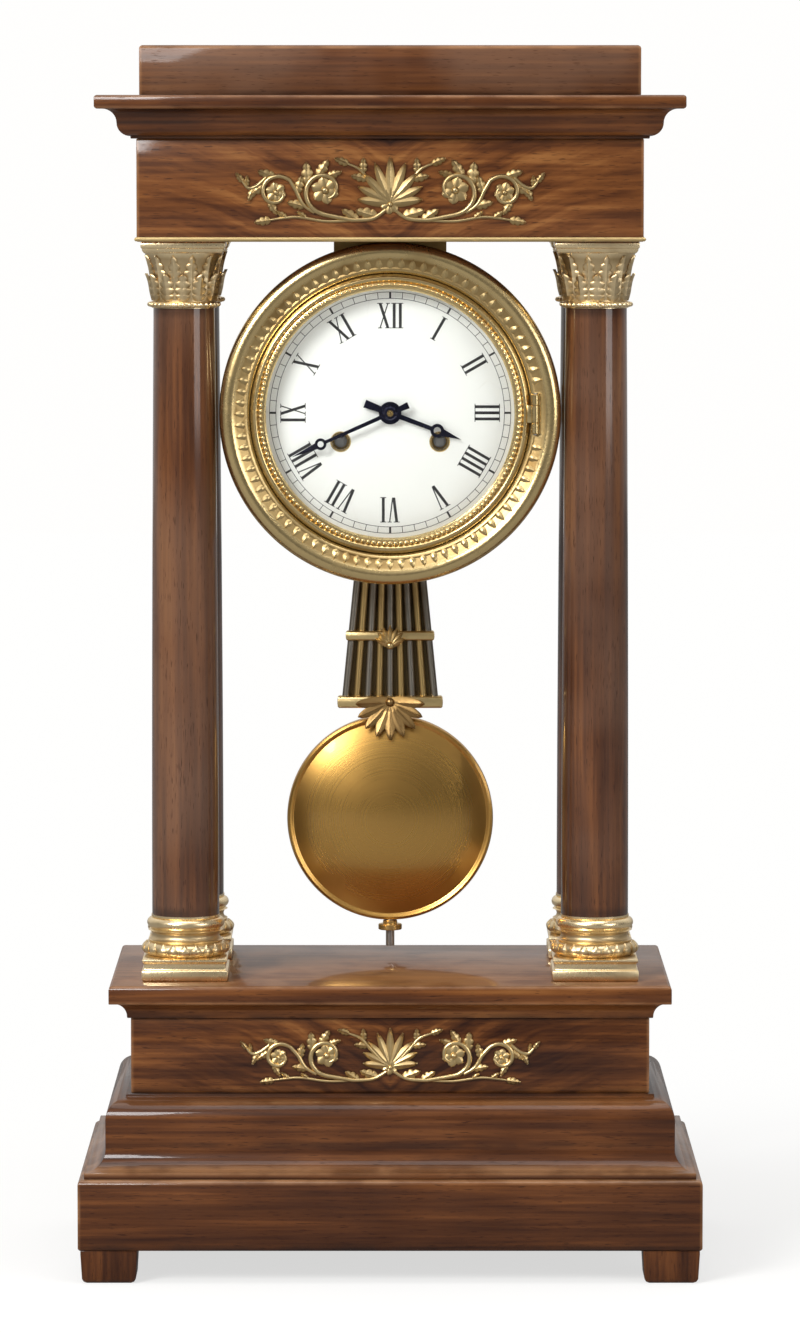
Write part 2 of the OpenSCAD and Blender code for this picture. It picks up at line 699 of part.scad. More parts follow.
module bell_stand() color(steel) on_axis(bell_at) {
    between(plate_gap, plate_gap + plate_t) circle(r = 1.6);
    between(plate_gap + plate_t, bell_s + 12.2) circle(r = 2.2);
    between(bell_s + 12, bell_stand_end) circle(r = 1.4);
    between(bell_s + 14.6, bell_stand_end) difference() {
        circle(r = 3, $fn = 6);
        circle(r = 1.3);
    }
}

// Cup bell with its mouth to the plate
module bell() color([0.8, 0.7, 0.4]) on_axis(bell_at) {
    bell_r = 22;
    bell_depth = 13;
    bell_t = 1.4;
    translate([0, 0, -plates_y - bell_s]) rotate([180, 0, 0]) rotate_extrude($fn = 96) polygon(concat(
        [[1.4 + snug, bell_depth - 0.6], [1.4 + snug, bell_depth + bell_t]],
        arc([bell_r - 9, bell_depth + bell_t - 9], 9, 90, 8), [[bell_r, 0], [bell_r - bell_t, 0]],
        arc([bell_r - 9, bell_depth + bell_t - 9], 9 - bell_t, 8, 90)));
}

// Wheels and arbors

// Outline of n teeth of module m: height over and under the pitch circle, tooth share, tip and root widths
function tooth_outline(n, m, phase, over, under, share, tip, root) = [for (i = [0:n - 1])
    let (p = n * m / 2, w = 90 / n * share, a = phase + 360 * i / n)
    each [polar([0, 0], p - under * m, a - w * root), polar([0, 0], p, a - w),
        polar([0, 0], p + over * m, a - w * tip), polar([0, 0], p + over * m, a + w * tip),
        polar([0, 0], p, a + w), polar([0, 0], p - under * m, a + w * root)]];

// Crossed-out wheel with a round hub and four spokes
module wheel(n, m, bore = 0, phase = 0, rim = 1.3) {
    root_r = n * m / 2 - 1.25 * m;
    rim_r = root_r - rim;
    difference() {
        polygon(tooth_outline(n, m, phase, 0.85, 1.25, 0.84, 0.5, 1.45));
        difference() {
            circle(r = rim_r);
            circle(r = hub_r + 0.8);
            for (i = [0:3]) rotate(phase + 90 * i) translate([0, -0.8]) square([rim_r + 1, 1.6]);
        }
        if (bore > 0) circle(r = bore);
    }
}

// Solid pinion: leaves are slimmer at the root when there are few of them
module pinion(n, m, phase, bore = 0) {
    few = n < 13;
    difference() {
        polygon(tooth_outline(n, m, phase, 0.7, 1.3, 0.8, few ? 0.42 : 0.5, few ? 0.85 : 1.1));
        if (bore > 0) circle(r = bore);
    }
}

// Arbor between the plates with a pivot at each end
module arbor(r) {
    between(clear, plate_gap - clear) circle(r = r);
    between(-plate_t + 0.2, clear + 0.5) circle(r = pivot_r);
    between(plate_gap - clear - 0.5, plate_gap + plate_t - 0.2) circle(r = pivot_r);
}

// Barrel with its cover, and the coiled mainspring lying loose inside
module barrel(wheel_s, drum_s0, drum_s1) {
    barrel_r = 15.2;
    shell = 1.1;
    arbor_bore = winding_r + running;
    between(wheel_s, wheel_s + 2) difference() {
        polygon(tooth_outline(barrel_teeth, barrel_m, 0, 0.85, 1.25, 0.84, 0.5, 1.45));
        circle(r = arbor_bore);
    }
    between(drum_s0, drum_s1) difference() {
        circle(r = barrel_r);
        circle(r = barrel_r - shell);
    }
    for (s = [drum_s0, drum_s1 - shell]) between(s, s + shell) difference() {
        circle(r = barrel_r - shell / 2);
        circle(r = arbor_bore);
    }
    between(drum_s0 + shell + 0.4, drum_s1 - shell - 0.4)
        scroll(barrel_r - shell - 0.45, winding_r + 2.2, 0, 360 * 9, 0.5, 0.5, 216);
}

// Winding arbor: round body, square front end for the key, short rear pivot
module winding_arbor(c) color(steel) on_axis(c) {
    square_w = winding_r * 1.25;
    between(-plate_t - 1, plate_gap - clear) circle(r = winding_r);
    between(-plate_t - motion_gap - dial_t, -plate_t - 0.8) translate([-square_w / 2, -square_w / 2])
        square(square_w);
    between(plate_gap - clear - 0.5, plate_gap + plate_t - 0.2) circle(r = winding_r * 0.6);
}

going_wheel_s = 19;
strike_wheel_s = 3.2;
barrel_end_s = 19;

module going_barrel() color(brass) on_axis(going_at) barrel(going_wheel_s, 4, barrel_end_s + 0.5);
module strike_barrel() color(brass) on_axis(strike_at)
    barrel(strike_wheel_s, strike_wheel_s + 1.5, barrel_end_s);
module going_arbor() winding_arbor(going_at);
module strike_arbor() winding_arbor(strike_at);

module going_second_wheel() color(brass) on_axis(going_second_at) {
    arbor(arbor_r);
    between(18.5, 21.5) pinion(second_pinion, barrel_m,
        mesh_phase(barrel_teeth, 0, going_at, going_second_at, second_pinion));
    between(22.8, 24.2) wheel(going_second_teeth, going_second_m);
    between(22, 25) circle(r = hub_r);
}

// Carries the hands: wheel in front, pinion behind, and a long front arbor for the cannon pinion
module centre_wheel() color(brass) on_axis(hands_at) {
    between(minute_hand_s - 2, plate_gap - clear) circle(r = centre_r);
    between(plate_gap - clear - 0.5, plate_gap + plate_t - 0.2) circle(r = pivot_r);
    between(22, 25.6) pinion(centre_pinion, going_second_m,
        mesh_phase(going_second_teeth, 0, going_second_at, hands_at, centre_pinion));
    between(1, 2.4) wheel(centre_teeth, centre_m);
    between(clear, 2.8) circle(r = hub_r);
}

module third_wheel() color(brass) on_axis(third_at) {
    arbor(thin_r);
    between(0.6, 3.2) pinion(third_pinion, centre_m,
        mesh_phase(centre_teeth, 0, hands_at, third_at, third_pinion));
    between(26, 27.3) wheel(third_teeth, third_m);
    between(25.6, 27.8) circle(r = hub_r);
}

escape_s = [17, 18.5];

// Saw-toothed wheel: a tooth's front is steep and its back slopes
module escape_wheel() color(brass) on_axis(escape_at) {
    root_r = escape_r - 1.7;
    pitch = 360 / escape_teeth;
    arbor(thin_r);
    between(25.4, 28) pinion(escape_pinion, third_m,
        mesh_phase(third_teeth, 0, third_at, escape_at, escape_pinion));
    between(escape_s[0], escape_s[1]) difference() {
        polygon([for (i = [0:escape_teeth - 1]) let (a = (i + 0.5) * pitch)
            each [polar([0, 0], root_r, a - pitch * 0.34), polar([0, 0], escape_r, a - pitch * 0.06),
                polar([0, 0], escape_r, a + pitch * 0.06), polar([0, 0], root_r, a + pitch * 0.14)]]);
        difference() {
            circle(r = root_r - 1.2);
            circle(r = hub_r - 0.4);
            for (i = [0:3]) rotate(90 * i) translate([0, -0.6]) square([root_r, 1.2]);
        }
    }
}

// Anchor with its two pallets, arbor, and the crutch that drives the pendulum
module anchor() color(steel) on_axis(anchor_at) {
    nib_gap = 0.1;
    nib_w = 0.6;
    nib_h = 1.1;
    pallet = escape_r * tan(span_half);
    between(clear, plate_gap - clear) circle(r = thin_r + 0.2);
    between(-plate_t + 0.2, clear + 0.5) circle(r = pivot_r);
    between(plate_gap - clear - 0.5, cock_s - clear) circle(r = thin_r + 0.2);
    between(cock_s - clear - 0.5, cock_s + cock_t - 0.2) circle(r = pivot_r);
    between(escape_s[0], escape_s[1]) {
        circle(r = 2.2);
        for (s = [0, 1]) mirror([s, 0]) {
            rotate(-span_half) translate([0, nib_h]) square([pallet + nib_w / 2, 1.6]);
            rotate(-span_half) translate([pallet - nib_w / 2, nib_gap]) square([nib_w, nib_h + 0.5]);
        }
    }
    between(plate_gap + plate_t + 1.4, plate_gap + plate_t + 3) {
        circle(r = 2.6);
        translate([-1.5, -crutch_down - 2]) square([3, crutch_down]);
    }
    for (x = [-1, 1]) translate([x * (rod_r + running + 0.6) - 0.6, -crutch_down - 3])
        between(plate_gap + plate_t + 1.4, pendulum_s + 3) square([1.2, 4]);
    translate([-rod_r - 1.3, -crutch_down - 3]) between(plate_gap + plate_t + 1.4, plate_gap + plate_t + 3)
        square([rod_r * 2 + 2.6, 4]);
}

// Motion work and hands

module cannon_pinion() color(steel) on_axis(hands_at) {
    between(-plate_t - 1.8, -plate_t - 0.4) pinion(cannon_teeth, minute_m, 0, centre_r + snug);
    between(minute_hand_s - hand_t, -plate_t - 1.7) difference() {
        circle(r = cannon_r);
        circle(r = centre_r + snug);
    }
}

module minute_wheel() color(brass) on_axis(minute_at) {
    bore = 0.8 + running;
    between(-plate_t - 1.6, -plate_t - 0.6)
        wheel(minute_teeth, minute_m, bore, mesh_phase(cannon_teeth, 0, hands_at, minute_at, minute_teeth));
    between(-plate_t - 3.8, -plate_t - 1.5) pinion(minute_pinion, hour_m, 0, bore);
}

module hour_wheel() color(brass) on_axis(hands_at) {
    bore = cannon_r + running;
    phase = mesh_phase(minute_pinion, 0, minute_at, hands_at, hour_teeth);
    between(-plate_t - 3.4, -plate_t - 2.4) difference() {
        wheel(hour_teeth, hour_m, bore, phase);
        circle(r = bore);
    }
    between(hour_hand_s - hand_t, -plate_t - 2.4) difference() {
        circle(r = hour_pipe_r);
        circle(r = bore);
    }
}

// Hand of length l with a ring near its tip and a short tail, pointing to twelve
module ring_hand(l, ring_at, ring_r, boss_r, bore, w) difference() {
    neck = ring_at - ring_r + 0.3;
    tip = ring_at + ring_r * 0.7;
    tail = boss_r * 2.4;
    union() {
        circle(r = boss_r);
        polygon([[-w * 0.8, -tail], [w * 0.8, -tail], [w / 2, 0],
            [w * 0.4, neck], [-w * 0.4, neck], [-w / 2, 0]]);
        translate([0, ring_at]) circle(r = ring_r);
        polygon([[-ring_r * 0.55, tip], [ring_r * 0.55, tip], [0, l]]);
    }
    translate([0, ring_at]) circle(r = ring_r * 0.52);
    circle(r = bore);
}

module minute_hand() color(blued) on_axis(hands_at) rotate(-time_min * 6)
    between(minute_hand_s - hand_t, minute_hand_s) ring_hand(44, 31, 2.4, 3.4, cannon_r + snug, 1.7);

module hour_hand() color(blued) on_axis(hands_at) rotate(-time_min / 2)
    between(hour_hand_s - hand_t, hour_hand_s) ring_hand(31, 20.5, 2.8, 4.6, hour_pipe_r + snug, 2.1);

module hand_nut() color(blued) on_axis(hands_at) {
    translate([0, 0, -plates_y - minute_hand_s + hand_t]) difference() {
        cylinder(r1 = 3, r2 = 2.2, h = 1.1);
        translate([0, 0, -1]) cylinder(r = centre_r + snug, h = 3);
    }
}

// Strike train

module strike_second_wheel() color(brass) on_axis(strike_second_at) {
    between(-plate_t + 0.2, clear + 0.5) circle(r = pivot_r);
    between(clear, plate_gap + plate_t + 3.5) circle(r = arbor_r);
    between(2.7, 5.7) pinion(second_pinion, barrel_m,
        mesh_phase(barrel_teeth, 0, strike_at, strike_second_at, second_pinion));
    between(22.8, 24.2) wheel(strike_second_teeth, strike_second_m);
    between(22, 25) circle(r = hub_r);
}

// Notched disc behind the back plate: the gap between notches grows with the hours to strike
module count_wheel() {
    count_r = 12.5;
    blows = 90;
    function blows_before(h) = h * (h + 1) / 2 + h;
    back_s = plate_gap + plate_t;
    color(brass) on_axis(strike_second_at) between(back_s + 1, back_s + 2.4) difference() {
        circle(r = count_r);
        circle(r = arbor_r + snug);
        for (h = [0:11]) rotate(360 * blows_before(h) / blows)
            translate([count_r - 1.5, -0.45]) square([3, 0.9]);
    }
}

pin_circle_r = 7.4;
hammer_pin_r = 0.5;

module pin_wheel() color(brass) on_axis(pin_at) {
    arbor(arbor_r);
    between(22.2, 25) pinion(pin_pinion, strike_second_m,
        mesh_phase(strike_second_teeth, 0, strike_second_at, pin_at, pin_pinion));
    between(13, 14.4) wheel(pin_teeth, pin_m, rim = 2.6);
    between(12.6, 14.8) circle(r = hub_r);
    for (a = [0:36:324]) rotate(a) translate([pin_circle_r, 0]) between(14, 17) circle(r = hammer_pin_r);
}

module locking_wheel() color(brass) on_axis(locking_at) {
    arbor(thin_r);
    between(12.4, 15) pinion(locking_pinion, pin_m,
        mesh_phase(pin_teeth, 0, pin_at, locking_at, locking_pinion));
    between(8, 9.3) wheel(locking_teeth, locking_m);
    between(7.7, 9.8) circle(r = hub_r);
}

module warning_wheel() color(brass) on_axis(warning_at) {
    arbor(thin_r);
    between(7.4, 10) pinion(warning_pinion, locking_m,
        mesh_phase(locking_teeth, 0, locking_at, warning_at, warning_pinion));
    between(5, 6.2) wheel(warning_teeth, warning_m);
    between(4.7, 6.6) circle(r = hub_r - 0.4);
}

// Air brake: a flat blade on the fastest arbor
module fly() color(steel) on_axis(fly_at) {
    blade_r = 5.6;
    arbor(thin_r);
    between(4.4, 7) pinion(fly_pinion, warning_m,
        mesh_phase(warning_teeth, 0, warning_at, fly_at, fly_pinion));
    between(19.5, 25.5) translate([-blade_r, -0.4]) square([blade_r * 2, 0.8]);
    between(19, 26) circle(r = 1.2);
}

// Arbor with a tail just clear of the lifting pins, and an arm behind the plate with the head at the bell
module hammer() color(steel) on_axis(hammer_at) {
    tail = norm(pin_at - hammer_at) - pin_circle_r - hammer_pin_r - 0.3;
    arm = 15.2;
    between(clear, bell_s + 4) circle(r = arbor_r);
    between(-plate_t + 0.2, clear + 0.5) circle(r = pivot_r);
    between(15, 16.6) rotate(angle_to(hammer_at, pin_at)) {
        circle(r = 1.9);
        translate([0, -0.7]) square([tail, 1.4]);
    }
    between(bell_s + 1, bell_s + 3) rotate(-92) {
        circle(r = 2);
        translate([0, -0.7]) square([arm, 1.4]);
    }
    rotate(-92) translate([arm, 0]) between(bell_s, bell_s + 4) circle(r = 2.4);
}

// Pendulum

spring_h = 7;

// Thin strip that bends at the axis of swing, clamped in the stud's slit
module suspension_spring() color(steel)
    translate([-0.1, pendulum_y - 2.5, suspension_z - spring_h]) cube([0.2, 5, spring_h + stud_up + 1]);

// Slit hook block on the spring, plain rod down to the gridiron, and the threaded rod through the bob
module pendulum_rod() color(steel) translate([0, pendulum_y, 0]) {
    block_h = 5;
    block_z = suspension_z - spring_h - block_h + 3;
    difference() {
        translate([-2, -3.5, block_z]) cube([4, 7, block_h]);
        translate([-0.12, -2.6, suspension_z - spring_h - snug]) cube([0.24, 5.2, block_h]);
    }
    translate([0, 0, grid_top_z]) cylinder(r = rod_r, h = block_z - grid_top_z + 0.5);
    low = bob_z - bob_d / 2 - nut_h - rod_tip;
    translate([0, 0, low]) cylinder(r = rod_r, h = grid_low_z - low);
}

// Cross bars joined by alternate rods that spread to the foot
module pendulum_grid() {
    top_bar = grid_top_z - grid_bar_h;
    low_bar = grid_low_z + grid_bar_h;
    mid_z = (top_bar + low_bar) / 2;
    half = (grid_rods - 1) / 2;
    pitch_top = (grid_w_top - grid_rod_d) / (grid_rods - 1);
    pitch_low = (grid_w_low - grid_rod_d) / (grid_rods - 1);
    rod_h = top_bar - low_bar;
    module bar(w, z, h) difference() {
        translate([-w / 2, -grid_bar_t / 2, z]) cube([w, grid_bar_t, h]);
        children();
    }
    module rods(extra) for (i = [-half:half]) {
        lean = atan(i * (pitch_low - pitch_top) / rod_h);
        translate([i * (pitch_low + pitch_top) / 2, 0, mid_z]) rotate([0, -lean, 0])
            translate([0, 0, -rod_h]) cylinder(d = grid_rod_d + extra, h = rod_h * 2);
    }
    color(gilt) translate([0, pendulum_y, 0]) {
        bar(grid_w_top + 4, top_bar, grid_bar_h);
        bar(grid_w_low + 4, grid_low_z, grid_bar_h);
        bar((grid_w_top + grid_w_low) / 2 + 2, mid_z - 2, 4) rods(snug * 2);
        intersection() {
            rods(0);
            translate([-grid_w_low, -grid_bar_t, low_bar]) cube([grid_w_low * 2, grid_bar_t * 2, rod_h]);
        }
    }
}

// Lens-shaped bob with a bore for the threaded rod
module pendulum_bob() color(brass) translate([0, pendulum_y, bob_z]) {
    edge = 2.4;
    bulge = (bob_t - edge) / 2;
    r = bob_d / 2;
    dome_r = (r * r + bulge * bulge) / (2 * bulge);
    difference() {
        intersection() {
            rotate([90, 0, 0]) translate([0, 0, -bob_t]) cylinder(r = r, h = bob_t * 2, $fn = 128);
            translate([0, dome_r - bob_t / 2, 0]) sphere(r = dome_r, $fn = 360);
            translate([0, bob_t / 2 - dome_r, 0]) sphere(r = dome_r, $fn = 360);
        }
        translate([0, 0, -bob_d]) cylinder(r = rod_r + running, h = bob_d * 2);
    }
}

module rating_nut() color(brass) translate([0, pendulum_y, bob_z - bob_d / 2 - nut_h - slip]) difference() {
    union() {
        cylinder(r = nut_r, h = nut_h * 0.6);
        cylinder(r = nut_r * 0.6, h = nut_h);
    }
    translate([0, 0, -1]) cylinder(r = rod_r + running, h = nut_h + 2);
}

feet();
plinth();
base_moulding();
base_box();
base_top();
column_at(-1, -1);  // column_front_left
column_at(1, -1);  // column_front_right
column_at(-1, 1);  // column_rear_left
column_at(1, 1);  // column_rear_right
column_bases();
capitals();
tie_rods();
soffit_board();
frieze_box();
cornice();
attic_block();
frieze_mount();
base_mount();
drum_hanger();
hanger_screws();
drum();
bezel();
dial();
glass_door();
door_glass();
hinge_pins();
rear_door();
front_plate();
back_plate();
pillars();
back_cock();
bell_stand();
bell();
going_barrel();
going_arbor();
going_second_wheel();
centre_wheel();
third_wheel();
escape_wheel();
anchor();
cannon_pinion();
minute_wheel();
hour_wheel();
minute_hand();
hour_hand();
hand_nut();
strike_barrel();
strike_arbor();
strike_second_wheel();
count_wheel();
pin_wheel();
locking_wheel();
warning_wheel();
fly();
hammer();
suspension_spring();
pendulum_rod();
pendulum_grid();
pendulum_bob();
rating_nut();
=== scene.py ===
from math import atan2, cos, degrees, hypot, pi, radians, sin, sqrt

import bmesh
import bpy
from mathutils import Matrix, Vector


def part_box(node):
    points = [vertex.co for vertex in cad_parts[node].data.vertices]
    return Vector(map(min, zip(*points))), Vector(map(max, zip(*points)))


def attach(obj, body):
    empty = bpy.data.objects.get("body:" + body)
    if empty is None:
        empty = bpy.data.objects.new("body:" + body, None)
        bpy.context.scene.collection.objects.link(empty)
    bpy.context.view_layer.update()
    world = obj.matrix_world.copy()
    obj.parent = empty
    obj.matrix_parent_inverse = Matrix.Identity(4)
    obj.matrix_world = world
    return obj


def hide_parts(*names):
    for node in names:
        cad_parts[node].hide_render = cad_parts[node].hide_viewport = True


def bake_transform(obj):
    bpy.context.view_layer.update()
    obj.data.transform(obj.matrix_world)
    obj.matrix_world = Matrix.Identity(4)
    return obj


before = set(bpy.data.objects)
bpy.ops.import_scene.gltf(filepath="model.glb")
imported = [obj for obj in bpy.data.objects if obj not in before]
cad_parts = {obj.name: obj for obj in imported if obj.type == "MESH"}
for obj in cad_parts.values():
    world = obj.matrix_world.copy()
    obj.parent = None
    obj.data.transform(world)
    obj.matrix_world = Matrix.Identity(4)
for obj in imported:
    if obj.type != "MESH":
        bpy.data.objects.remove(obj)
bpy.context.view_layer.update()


# The room: a pale floor in front of a white backdrop, with one large soft lamp at
# the upper left, a weaker one at the right and one overhead. The side of the room
# behind the camera is dimmer, so that polish and gilding have something to mirror.
class Wire:
    """A shader socket. Sums on wires add Math nodes, and node() adds any other node."""

    def __init__(self, tree, socket=None):
        self.tree, self.socket = tree, socket

    def node(self, kind, settings=None, out=0, **inputs):
        """Adds a node; inputs go by name, or by number as i0, i1."""
        made = self.tree.nodes.new("ShaderNode" + kind)
        for name, value in (settings or {}).items():
            if name == "stops":
                ramp = made.color_ramp.elements
                for end, (place, colour) in ((0, value[0]), (-1, value[-1])):
                    ramp[end].position, ramp[end].color = place, (*colour, 1)
                for place, colour in value[1:-1]:
                    ramp.new(place).color = (*colour, 1)
            else:
                setattr(made, name, value)
        for name, value in inputs.items():
            key = int(name[1:]) if name[1:].isdigit() else name.replace("_", " ")
            self.join(value, made.inputs[key])
        return Wire(self.tree, made.outputs[out])

    def join(self, value, socket):
        """Links a wire to a socket or sets a value on it."""
        if isinstance(value, Wire):
            self.tree.links.new(value.socket, socket)
        else:
            socket.default_value = (*value, 1) if socket.type == "RGBA" else value

    def sum(self, operation, one, other=0, clamp=False):
        settings = {"operation": operation, "use_clamp": clamp}
        return self.node("Math", settings, i0=one, i1=other)

    def __add__(self, other):
        return self.sum("ADD", self, other)

    def __sub__(self, other):
        return self.sum("SUBTRACT", self, other)

    def __rsub__(self, other):
        return self.sum("SUBTRACT", other, self)

    def __mul__(self, other):
        return self.sum("MULTIPLY", self, other)

    def __gt__(self, other):
        return self.sum("GREATER_THAN", self, other)

    def __abs__(self):
        return self.sum("ABSOLUTE", self)

    __radd__, __rmul__ = __add__, __mul__

    def step(self, low, high):
        """0 below low, 1 above high, smooth between."""
        settings = {"interpolation_type": "SMOOTHSTEP"}
        return self.node("MapRange", settings, Value=self, From_Min=low, From_Max=high)

    def between(self, one, other):
        """One colour where this wire is 0, the other where it is 1."""
        return self.node("Mix", {"data_type": "RGBA"}, 2, i0=self, i6=one, i7=other)

    def split(self):
        """The X, Y and Z of a vector wire."""
        return [self.node("SeparateXYZ", out=axis, Vector=self) for axis in "XYZ"]

    def place(self):
        """The point on the piece."""
        return self.node("TexCoord", out="Object")

    def noise(self, place, scale, detail, **more):
        """Noise over a vector wire."""
        return self.node("TexNoise", Vector=place, Scale=scale, Detail=detail, **more)

    def ray(self, kind):
        """1 for rays of one kind."""
        return self.node("LightPath", out=f"Is {kind} Ray")


EYE, TILT, LENS, SENSOR, SIDE_SHIFT = (0, -2.6, 0.4728), 84.983, 170.3, 36, 0.0074
LAMP_AIM = Vector((0, 0, 0.27))
ROOM_TONE = 0.5

scene = bpy.context.scene
scene.view_settings.view_transform = "Standard"
bpy.ops.object.select_all(action="DESELECT")
bpy.ops.object.camera_add(location=EYE, rotation=(radians(TILT), 0, 0))
camera = bpy.context.object
camera.data.lens, camera.data.sensor_width, camera.data.shift_x = LENS, SENSOR, SIDE_SHIFT
scene.camera = camera

room = bpy.data.worlds.new("room")
room.use_nodes = True
scene.world = room
air = Wire(room.node_tree)
seen = air.ray("Camera") + air.ray("Transmission")
mirrored = air.ray("Glossy")
east, north, up = air.node("TexCoord", out="Generated").split()
mirror_tone = 0.16 + 0.34 * up.step(0, 0.8) + 0.40 * north.step(-0.1, 0.7)
mirror_tone = mirror_tone - 0.08 * east.step(-0.3, 0.6)
lamp_tone = mirrored * mirror_tone + (1 - mirrored) * ROOM_TONE
backdrop = room.node_tree.nodes["Background"]
backdrop.inputs["Color"].default_value = (1, 0.995, 0.985, 1)
air.join(seen + (1 - seen) * lamp_tone, backdrop.inputs["Strength"])

for name, place, size, watts in (
    ("key", (-1.3, -1.85, 1.5), 0.9, 60),
    ("fill", (1.7, -1.5, 0.75), 1, 12),
    ("overhead", (0, -0.2, 1.7), 1.2, 13),
):
    bpy.ops.object.light_add(type="AREA", location=place)
    lamp = bpy.context.object
    lamp.name = name
    lamp.data.size, lamp.data.energy = size, watts
    lamp.rotation_euler = (LAMP_AIM - Vector(place)).to_track_quat("-Z", "Y").to_euler()

bpy.ops.mesh.primitive_plane_add(size=9)
floor = bpy.context.object
floor.name = "floor"
floor_paint = bpy.data.materials.new("floor_paint")
floor_paint.use_nodes = True
paint = Wire(floor_paint.node_tree)
mottle = paint.noise(paint.place(), 3, 3)
pale = mottle.between((0.83, 0.825, 0.81), (0.87, 0.865, 0.855))
seen = paint.ray("Camera") + paint.ray("Transmission")
mirrored = paint.ray("Glossy")
away = paint.node("VectorMath", {"operation": "LENGTH"}, "Value", i0=paint.place())
fade = 0.66 + 0.34 * away.step(0.16, 0.55)
lit = paint.node("BsdfDiffuse", Color=pale)
glow = paint.node("Emission", Color=(1, 0.998, 0.99), Strength=1 - mirrored * 0.86)
floor_look = paint.node("MixShader", i0=seen * fade + mirrored * 0.8, i1=lit, i2=glow)
paint.join(floor_look, floor_paint.node_tree.nodes["Material Output"].inputs["Surface"])
floor.data.materials.append(floor_paint)


# Feet: four short blocks of solid mahogany, worn round at the floor, glued and
# pegged under the corners of the plinth.
MM = 0.001
ARRIS = 0.4
ARRIS_ANGLE = 38
FOOT_HALF = 11.5


def corners_of(node):
    """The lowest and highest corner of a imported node, in mm."""
    return [[round(c / MM, 3) for c in corner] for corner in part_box(node)]


def extent(node):
    """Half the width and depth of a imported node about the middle, its foot and its head."""
    low, high = corners_of(node)
    return high[:2], low[2], high[2]


def shift(x, y, z):
    """The matrix of a move in mm."""
    return Matrix.Translation((x * MM, y * MM, z * MM))


def turn(angle, axis):
    """The matrix of a turn in degrees."""
    return Matrix.Rotation(radians(angle), 4, axis)


def alone(piece):
    """Makes one piece the only selected one."""
    bpy.ops.object.select_all(action="DESELECT")
    piece.select_set(True)
    bpy.context.view_layer.objects.active = piece


def applied(piece, kind, **settings):
    """Adds a modifier to a piece and applies it."""
    alone(piece)
    modifier = piece.modifiers.new(kind.lower(), kind)
    for name, value in settings.items():
        setattr(modifier, name, value)
    bpy.ops.object.modifier_apply(modifier=modifier.name)


def draw_up(rows, centre=(0, 0)):
    """Extrudes the selection through rows of (half width, half depth, height)."""
    for low, high in zip(rows, rows[1:]):
        lift = {"value": (0, 0, (high[2] - low[2]) * MM)}
        bpy.ops.mesh.extrude_region_move(TRANSFORM_OT_translate=lift)
        bpy.ops.transform.resize(
            value=(high[0] / low[0], high[1] / low[1], 1),
            center_override=(centre[0] * MM, centre[1] * MM, high[2] * MM),
        )


def close_up(piece, arris=ARRIS, smooth=35):
    """Ends the edit: joins what meets, turns the faces outwards and eases the arrises."""
    bpy.ops.mesh.select_all(action="SELECT")
    bpy.ops.mesh.remove_doubles(threshold=1e-6)
    bpy.ops.mesh.normals_make_consistent(inside=False)
    if bmesh.from_edit_mesh(piece.data).calc_volume(signed=True) < 0:
        bpy.ops.mesh.flip_normals()
    bpy.ops.object.mode_set(mode="OBJECT")
    alone(piece)
    if arris:
        limit = radians(ARRIS_ANGLE)
        applied(piece, "BEVEL", width=arris * MM, segments=2, limit_method="ANGLE", angle_limit=limit)
    bpy.ops.object.shade_smooth_by_angle(angle=radians(smooth))
    return piece


def begin(piece):
    """Puts a new primitive's place in its mesh and opens it for editing, all selected."""
    alone(piece)
    bpy.ops.object.transform_apply(location=True, rotation=True, scale=True)
    bpy.ops.object.mode_set(mode="EDIT")
    bpy.ops.mesh.select_mode(type="FACE")
    bpy.ops.mesh.select_all(action="SELECT")


def bridge_ends():
    """Joins the two open edges of a hollow piece."""
    bpy.ops.mesh.select_mode(type="EDGE")
    bpy.ops.mesh.select_all(action="DESELECT")
    bpy.ops.mesh.select_non_manifold()
    bpy.ops.mesh.bridge_edge_loops()


def moulded(half, outline, centre=(0, 0), walls=None, arris=ARRIS):
    """A block drawn up through an outline of (out from the half size, height); walls that
    thick, counted in from the half size, leave it hollow."""
    rows = [(half[0] + out, half[1] + out, z) for out, z in outline]
    start = (centre[0] * MM, centre[1] * MM, rows[0][2] * MM)
    bpy.ops.mesh.primitive_plane_add(size=2, location=start)
    piece = bpy.context.object
    piece.scale = (rows[0][0] * MM, rows[0][1] * MM, 1)
    begin(piece)
    draw_up(rows, centre)
    if walls:
        for row in (rows[0], rows[-1]):
            bpy.ops.mesh.select_all(action="DESELECT")
            mesh = bmesh.from_edit_mesh(piece.data)
            for face in mesh.faces:
                if all(abs(v.co.z - row[2] * MM) < 1e-6 for v in face.verts):
                    face.select_set(True)
            bmesh.update_edit_mesh(piece.data)
            bpy.ops.mesh.inset(thickness=(row[0] - half[0] + walls) * MM)
            bpy.ops.mesh.delete(type="ONLY_FACE")
        bridge_ends()
    return close_up(piece, arris)


def copy_at(piece, matrix):
    """A copy with its own mesh, moved within it."""
    twin = bpy.data.objects.new(piece.name, piece.data.copy())
    scene.collection.objects.link(twin)
    twin.data.transform(matrix)
    if matrix.determinant() < 0:
        twin.data.flip_normals()
    return twin


def joined(pieces):
    """Several meshes made one piece."""
    alone(pieces[0])
    for piece in pieces:
        piece.select_set(True)
    if len(pieces) > 1:
        bpy.ops.object.join()
    return pieces[0]


def stood(pattern, spots, height=0):
    """One piece made of copies of a pattern, which stand at several spots."""
    made = joined([copy_at(pattern, shift(x, y, height)) for x, y in spots])
    bpy.data.objects.remove(pattern)
    return made


